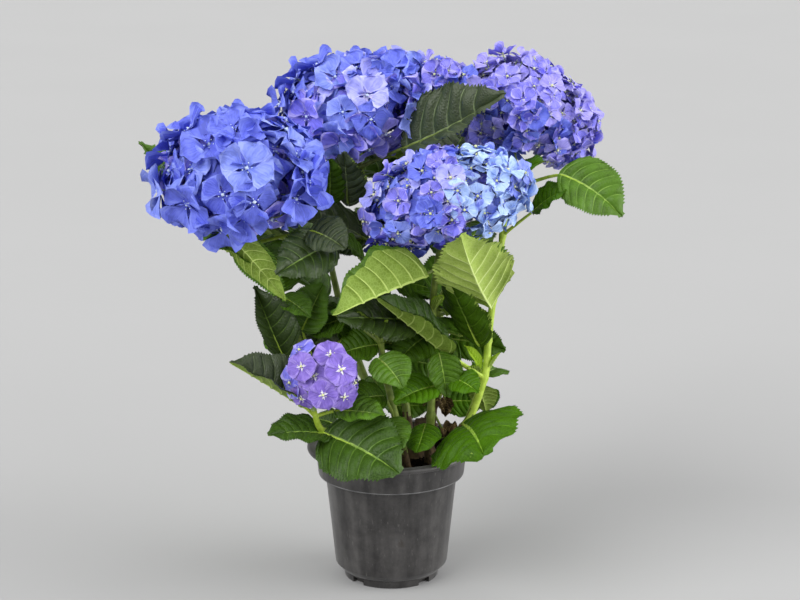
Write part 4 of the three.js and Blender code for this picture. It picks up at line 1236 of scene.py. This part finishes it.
def make_cyme(name, centre, radii, turn, places):
    """A head's stalks: rays from a hub on the cane's end, each parted again into the florets' own thin
    stalks, as (place, radius) in mm."""
    joints = CANES[name][0]
    foot = place_on(joints, len(joints) - 1)
    hub = foot + (centre - foot) * HUB_SHARE
    knots = [centre + turn @ (radii * KNOT_SHARE * dealt_round(n, RAYS, RAY_SPAN, 0.4)) for n in range(RAYS)]
    rays = [[(foot, 3.0), (foot + (hub - foot) * 0.5, 2.8), (hub, 2.6)]]
    for knot in knots:
        bend = hub + (knot - hub) * 0.5 + (hub - foot) * 0.1
        rays.append([(hub, 1.7), (bend, 1.4), (knot, 1.2)])
    thin = []
    for middle, normal, *_ in places:
        knot = min(knots, key=lambda k: np.linalg.norm(k - middle))
        bend = knot + (middle - knot) * 0.55 - normal * 3
        thin.append([(knot, 0.8), (bend, 0.6), (middle, 0.5)])
    stalks = joined("flower_stalks_" + name, [stalks_along("rays", rays, 6), stalks_along("thin", thin, 4)])
    stalks.data.shade_smooth()
    settle(stalks, [])


for name in HEADS:
    make_head(name)


# Pot

POT_SIDES = 112
POT_PROFILE = [
    (0, 0), (42, 0), (47.4, 0), (48, 0.6), (48, 7.6), (48.6, 8.5), (50.5, 8.6), (51.2, 8.9), (57.0, 15.0),
    (57.5, 16.2), (59.6, 36), (61.8, 58), (63.9, 78), (66.0, 97), (67.3, 108.6), (67.9, 109.7), (69, 110),
    (73.6, 110), (74.4, 110.5), (74.7, 111.6), (75.1, 116), (75.9, 124.5), (76.6, 132.6), (77.2, 134.3),
    (78.5, 135), (84.2, 135), (85.4, 135.6), (86, 137), (85.9, 138.4), (85.0, 139.6), (83.6, 140),
    (78.2, 140), (76.6, 139.4), (75.6, 138), (75.2, 132), (74.2, 120), (73.0, 111.8), (66.0, 111.4),
    (62.0, 74), (56.0, 17), (49.0, 10), (46.6, 8.0), (46.4, 2.4), (0, 2.4),
]
# The collar's lower edge, which is worn: between these heights, and out from this radius
WORN_EDGE = (109.9, 111.7)
WORN_FROM = 74
# The drain slots: how many, their inner and outer ends from the axis, half their width and their height
SLOTS = 4
SLOT_ENDS = (42, 54)
SLOT_HALF = 7.5
SLOT_HEIGHT = 6
STAIN_PLACE = (11, -62, 53)


def turned(profile, sides, height=None):
    """A body of revolution about +Z whose first and last points lie on the axis. height(x, y, z) gives a
    corner another height."""
    corners = [(0, 0, profile[0][1])]
    for r, z in profile[1:-1]:
        for k in range(sides):
            x, y = on_circle(k, sides, r)
            corners.append((x, y, height(x, y, z) if height else z))
    corners.append((0, 0, profile[-1][1]))
    end = len(corners) - 1 - sides
    faces = []
    for k in range(sides):
        n = (k + 1) % sides
        faces.append((0, 1 + n, 1 + k))
        for first in range(1, end, sides):
            a, b = first + k, first + n
            faces.append((a, b, b + sides, a + sides))
        faces.append((end + k, end + n, len(corners) - 1))
    return corners, faces


def pot_finish():
    """Recycled polypropylene, moulded and used: near-black grey under a film of pale dust that catches the
    light at its sides, with faint streaks where water ran down, a dried brown splash and pale scuffs."""
    finish, tree, place = new_finish("pot_recycled_polypropylene")
    streak_place = add(tree, "ShaderNodeMapping", {"Vector": place, "Scale": (1.0, 1.0, 0.08)}).outputs[0]
    streaks = add(tree, "ShaderNodeTexNoise", {"Vector": streak_place, "Scale": 1 / (14 * MM), "Detail": 3.0})
    film = {"Vector": place, "Scale": 1 / (34 * MM), "Detail": 8.0, "Roughness": 0.75}
    dust = add(tree, "ShaderNodeTexNoise", film)
    grime = {0: streaks.outputs["Fac"], 1: dust.outputs["Fac"]}
    both = add(tree, "ShaderNodeMath", grime, operation="MULTIPLY")
    ramp = add(tree, "ShaderNodeValToRGB", {"Fac": both.outputs[0]})
    set_stops(ramp, (0.16, srgb("#211f1f")), (0.36, srgb("#4a4847")))

    # The splash: a round spot with a ragged edge
    near = add(tree, "ShaderNodeVectorMath", {0: place, 1: Vector(STAIN_PLACE) * MM}, operation="DISTANCE")
    edge = add(tree, "ShaderNodeTexNoise", {"Vector": place, "Scale": 1 / (4 * MM), "Detail": 3.0})
    far = {0: edge.outputs["Fac"], 1: 7 * MM, 2: near.outputs["Value"]}
    ragged = add(tree, "ShaderNodeMath", far, operation="MULTIPLY_ADD")
    fading = {"Value": ragged.outputs[0], "From Min": 5 * MM, "From Max": 9 * MM, "To Min": 0.6, "To Max": 0.0}
    stain = add(tree, "ShaderNodeMapRange", fading)
    layers = {0: stain.outputs[0], 6: ramp.outputs["Color"], 7: srgb("#241a10")}
    stained = add(tree, "ShaderNodeMix", layers, data_type="RGBA")

    # Pale scuffs, longer than they are wide
    scratch_place = add(tree, "ShaderNodeMapping", {"Vector": place, "Scale": (1.0, 1.0, 0.25)}).outputs[0]
    specks = add(tree, "ShaderNodeTexNoise", {"Vector": scratch_place, "Scale": 1 / (2.2 * MM), "Detail": 3.0})
    rubbed = {"Value": specks.outputs["Fac"], "From Min": 0.64, "From Max": 0.8, "To Max": 0.4}
    speck = add(tree, "ShaderNodeMapRange", rubbed)
    layers = {0: speck.outputs[0], 6: stained.outputs[2], 7: srgb("#7c7a76")}
    scuffed = add(tree, "ShaderNodeMix", layers, data_type="RGBA")

    pits = add(tree, "ShaderNodeTexNoise", {"Vector": place, "Scale": 1 / (1.2 * MM), "Detail": 2.0})
    skin = {"Roughness": 0.42, "Specular IOR Level": 0.55, "Sheen Weight": 0.12, "Sheen Roughness": 0.4}
    end_in_skin(tree, scuffed.outputs[2], pits.outputs["Fac"], 0.1, 0.5, skin)
    return finish


FINISH["pot"] = pot_finish()


def make_pot():
    """The moulded pot, with its drain slots cut where its wall stands on the floor."""
    corners, faces = turned(POT_PROFILE, POT_SIDES)
    low, high = WORN_EDGE
    worn = [low < z < high and WORN_FROM < math.hypot(x, y) for x, y, z in corners]
    shell = Growth()
    shell.put(corners, faces, ["pot_worn" if all(worn[v] for v in face) else "pot" for face in faces])
    pot = linked("pot_shell", shell.mesh("pot_shell"))
    cutters = []
    for k in range(SLOTS):
        turn = math.radians(45 + 360 / SLOTS * k)
        across, along = math.sin(turn), math.cos(turn)
        corners = [
            (x * along - y * across, x * across + y * along, z)
            for x in SLOT_ENDS for y in (-SLOT_HALF, SLOT_HALF) for z in (-SLOT_HEIGHT, SLOT_HEIGHT)
        ]
        faces = [(0, 1, 3, 2), (4, 6, 7, 5), (0, 4, 5, 1), (2, 3, 7, 6), (0, 2, 6, 4), (1, 5, 7, 3)]
        cutters.append(linked("slot", mesh_of("slot", corners, faces)))
        cut = pot.modifiers.new("slot", "BOOLEAN")
        cut.operation = "DIFFERENCE"
        cut.solver = "EXACT"
        cut.object = cutters[-1]
    mesh = plain_mesh(pot)
    for used in [pot, *cutters]:
        bpy.data.objects.remove(used)
    shade(mesh, 45)
    settle(linked("moulded_pot", mesh), ["pot"])


make_pot()


# Root ball

SOIL_SIDES = 90
# The root ball's outline, as (radius, height), from the pot's floor up to its flat top
SOIL_PROFILE = [
    (0, 6.5), (45.5, 6.5), (45.5, 10), (54.8, 17.6), (64.8, 112.0), (72.0, 112.2), (74.0, 124.5), (72.5, 125.2),
    *((r, SOIL_Z) for r in range(68, 0, -4)), (0, SOIL_Z),
]
# The soil lies a little lower outside this radius
SOIL_EDGE = 62


def soil_top(x, y, z):
    """The height of the root ball's corner: its flat top is crumbled and a little wavy."""
    if z < SOIL_Z:
        return z
    bump = 1.6 * (chance(round(x * 3) * 7.1 + round(y * 3) * 3.7, 51) - 0.5)
    wave = 1.5 * math.sin(x / 9 + 1) * math.cos(y / 8) + 0.8 * math.sin(x / 3.1 + y / 4.3)
    return z + (bump + wave - (3 if math.hypot(x, y) > SOIL_EDGE else 0))


soil = Growth()
soil.put(*turned(SOIL_PROFILE, SOIL_SIDES, soil_top), "soil")
soil.piece("root_ball", "soil", ["soil"], 80)


def crumb_tree():
    """Small lumps strewn over a surface, seeded, each turned and sized by chance."""
    sizes = {"Count per square metre": 110000.0, "Smallest": 0.4, "Largest": 2.0}
    tree, given = new_tree("crumbs_on_soil", {**sizes, "Seed": 7, "Finish": "Material"})
    seed = given["Seed"]
    strewn = {"Mesh": given["Geometry"], "Density": given["Count per square metre"], "Seed": seed}
    spots = add(tree, "GeometryNodeDistributePointsOnFaces", strewn)
    lump = add(tree, "GeometryNodeMeshIcoSphere", {"Radius": MM, "Subdivisions": 1})
    any_turn = {"Seed": seed, 1: (6.28, 6.28, 6.28)}
    turn = add(tree, "FunctionNodeRandomValue", any_turn, data_type="FLOAT_VECTOR")
    any_size = {"Seed": seed, 2: given["Smallest"], 3: given["Largest"]}
    size = add(tree, "FunctionNodeRandomValue", any_size, data_type="FLOAT")
    lumps = add(
        tree,
        "GeometryNodeInstanceOnPoints",
        {
            "Points": spots.outputs["Points"],
            "Instance": lump.outputs[0],
            "Rotation": turn.outputs[0],
            "Scale": size.outputs[1],
        },
    )
    end_in_material(tree, lumps.outputs[0], [(None, given["Finish"])])
    return tree


# The disc that the crumbs lie on: its sides, and its flat part's and its lower rim's (radius, drop)
DISC_SIDES = 48
DISC_RINGS = ((58, 0), (72, 2))


def strew_crumbs():
    """Loose crumbs over the soil's top."""
    corners, faces = [(0, 0, SOIL_Z)], []
    for r, drop in DISC_RINGS:
        corners += [(*on_circle(k, DISC_SIDES, r), SOIL_Z - drop) for k in range(DISC_SIDES)]
    for k in range(DISC_SIDES):
        n = (k + 1) % DISC_SIDES
        faces.append((0, 1 + k, 1 + n))
        faces.append((1 + k, 1 + DISC_SIDES + k, 1 + DISC_SIDES + n, 1 + n))
    disc = linked("disc", mesh_of("disc", corners, faces))
    crumbs = grown("soil_crumbs", disc, crumb_tree(), {"Finish": FINISH["crumb"]})
    settle(linked("soil_crumbs", crumbs), [])


strew_crumbs()


# The stump: its foot and its lean over its height, in mm, and its foot's radius
STUMP_FOOT = (30, 6, SOIL_Z + 0.4)
STUMP_LEAN = (6, -4, 34)
STUMP_RADIUS = 21
STUMP_RINGS = 26


def make_base():
    """The stump that the canes spring from, its bark ridged lengthwise."""
    shares = np.linspace(0, 1, STUMP_RINGS)
    radii = [STUMP_RADIUS * (0.52 + 0.48 * math.exp(-share * 6)) for share in shares]
    points = [[foot + share * lean for foot, lean in zip(STUMP_FOOT, STUMP_LEAN)] for share in shares]

    def relief(ring, angle):
        ridge = 1.1 * math.sin(9 * angle + 1.5 * math.sin(ring / 5)) + 0.9 * math.sin(4 * angle + 1)
        return ridge * 0.7 + 0.8 * (chance(ring * 13 + round(angle * 9), 61) - 0.5)

    stump = Growth()
    stump.put(*tube(points, radii, 36, relief), "bark")
    stump.piece("woody_stump", "bark", ["woody_base"], 60)


make_base()

# Studio: a pale floor that fills the view, and big soft lights

TARGET = Vector((0.009, 0.0, 0.292))
DISTANCE = 2.5
LENS = 111.65
FLOOR_HALF = 14

ground = mesh_of("floor", [(-1, -1, 0), (1, -1, 0), (1, 1, 0), (-1, 1, 0)], [(0, 1, 2, 3)], FLOOR_HALF)
# Seamless background paper: matt, even and pale grey
ground.materials.append(mottled("floor_pale_paper", "#a9a9a9", "#aaaaaa", 400, 0.9, 2, 0.0, 0.0))
linked("floor", ground)

world = bpy.data.worlds.new("studio")
bpy.context.scene.world = world
world.use_nodes = True
world.node_tree.nodes["Background"].inputs["Color"].default_value = (1, 1, 1, 1)
world.node_tree.nodes["Background"].inputs["Strength"].default_value = 0.42


def soft_light(name, towards, spread, strength):
    """Even light from far off in a direction, from a patch as wide as spread in degrees."""
    light = bpy.data.lights.new(name, "SUN")
    light.angle = math.radians(spread)
    light.energy = strength
    lamp = linked(name, light)
    lamp.rotation_mode = "QUATERNION"
    lamp.rotation_quaternion = Vector(towards).to_track_quat("Z", "Y")


soft_light("key_left", (-0.75, -0.65, 0.8), 50, 2.6)
soft_light("fill_right", (0.85, -0.45, 0.45), 70, 1.45)
soft_light("edge_right", (1.0, -0.1, 0.3), 50, 1.9)
soft_light("top", (0.1, 0.5, 1.0), 70, 0.9)

camera = bpy.data.cameras.new("camera")
camera.sensor_width = 36
camera.lens = LENS
view = linked("camera", camera)
view.location = TARGET + DISTANCE * VIEW_SIDE
view.rotation_mode = "QUATERNION"
view.rotation_quaternion = (TARGET - view.location).to_track_quat("-Z", "Y")
bpy.context.scene.camera = view
bpy.context.scene.view_settings.view_transform = "Standard"
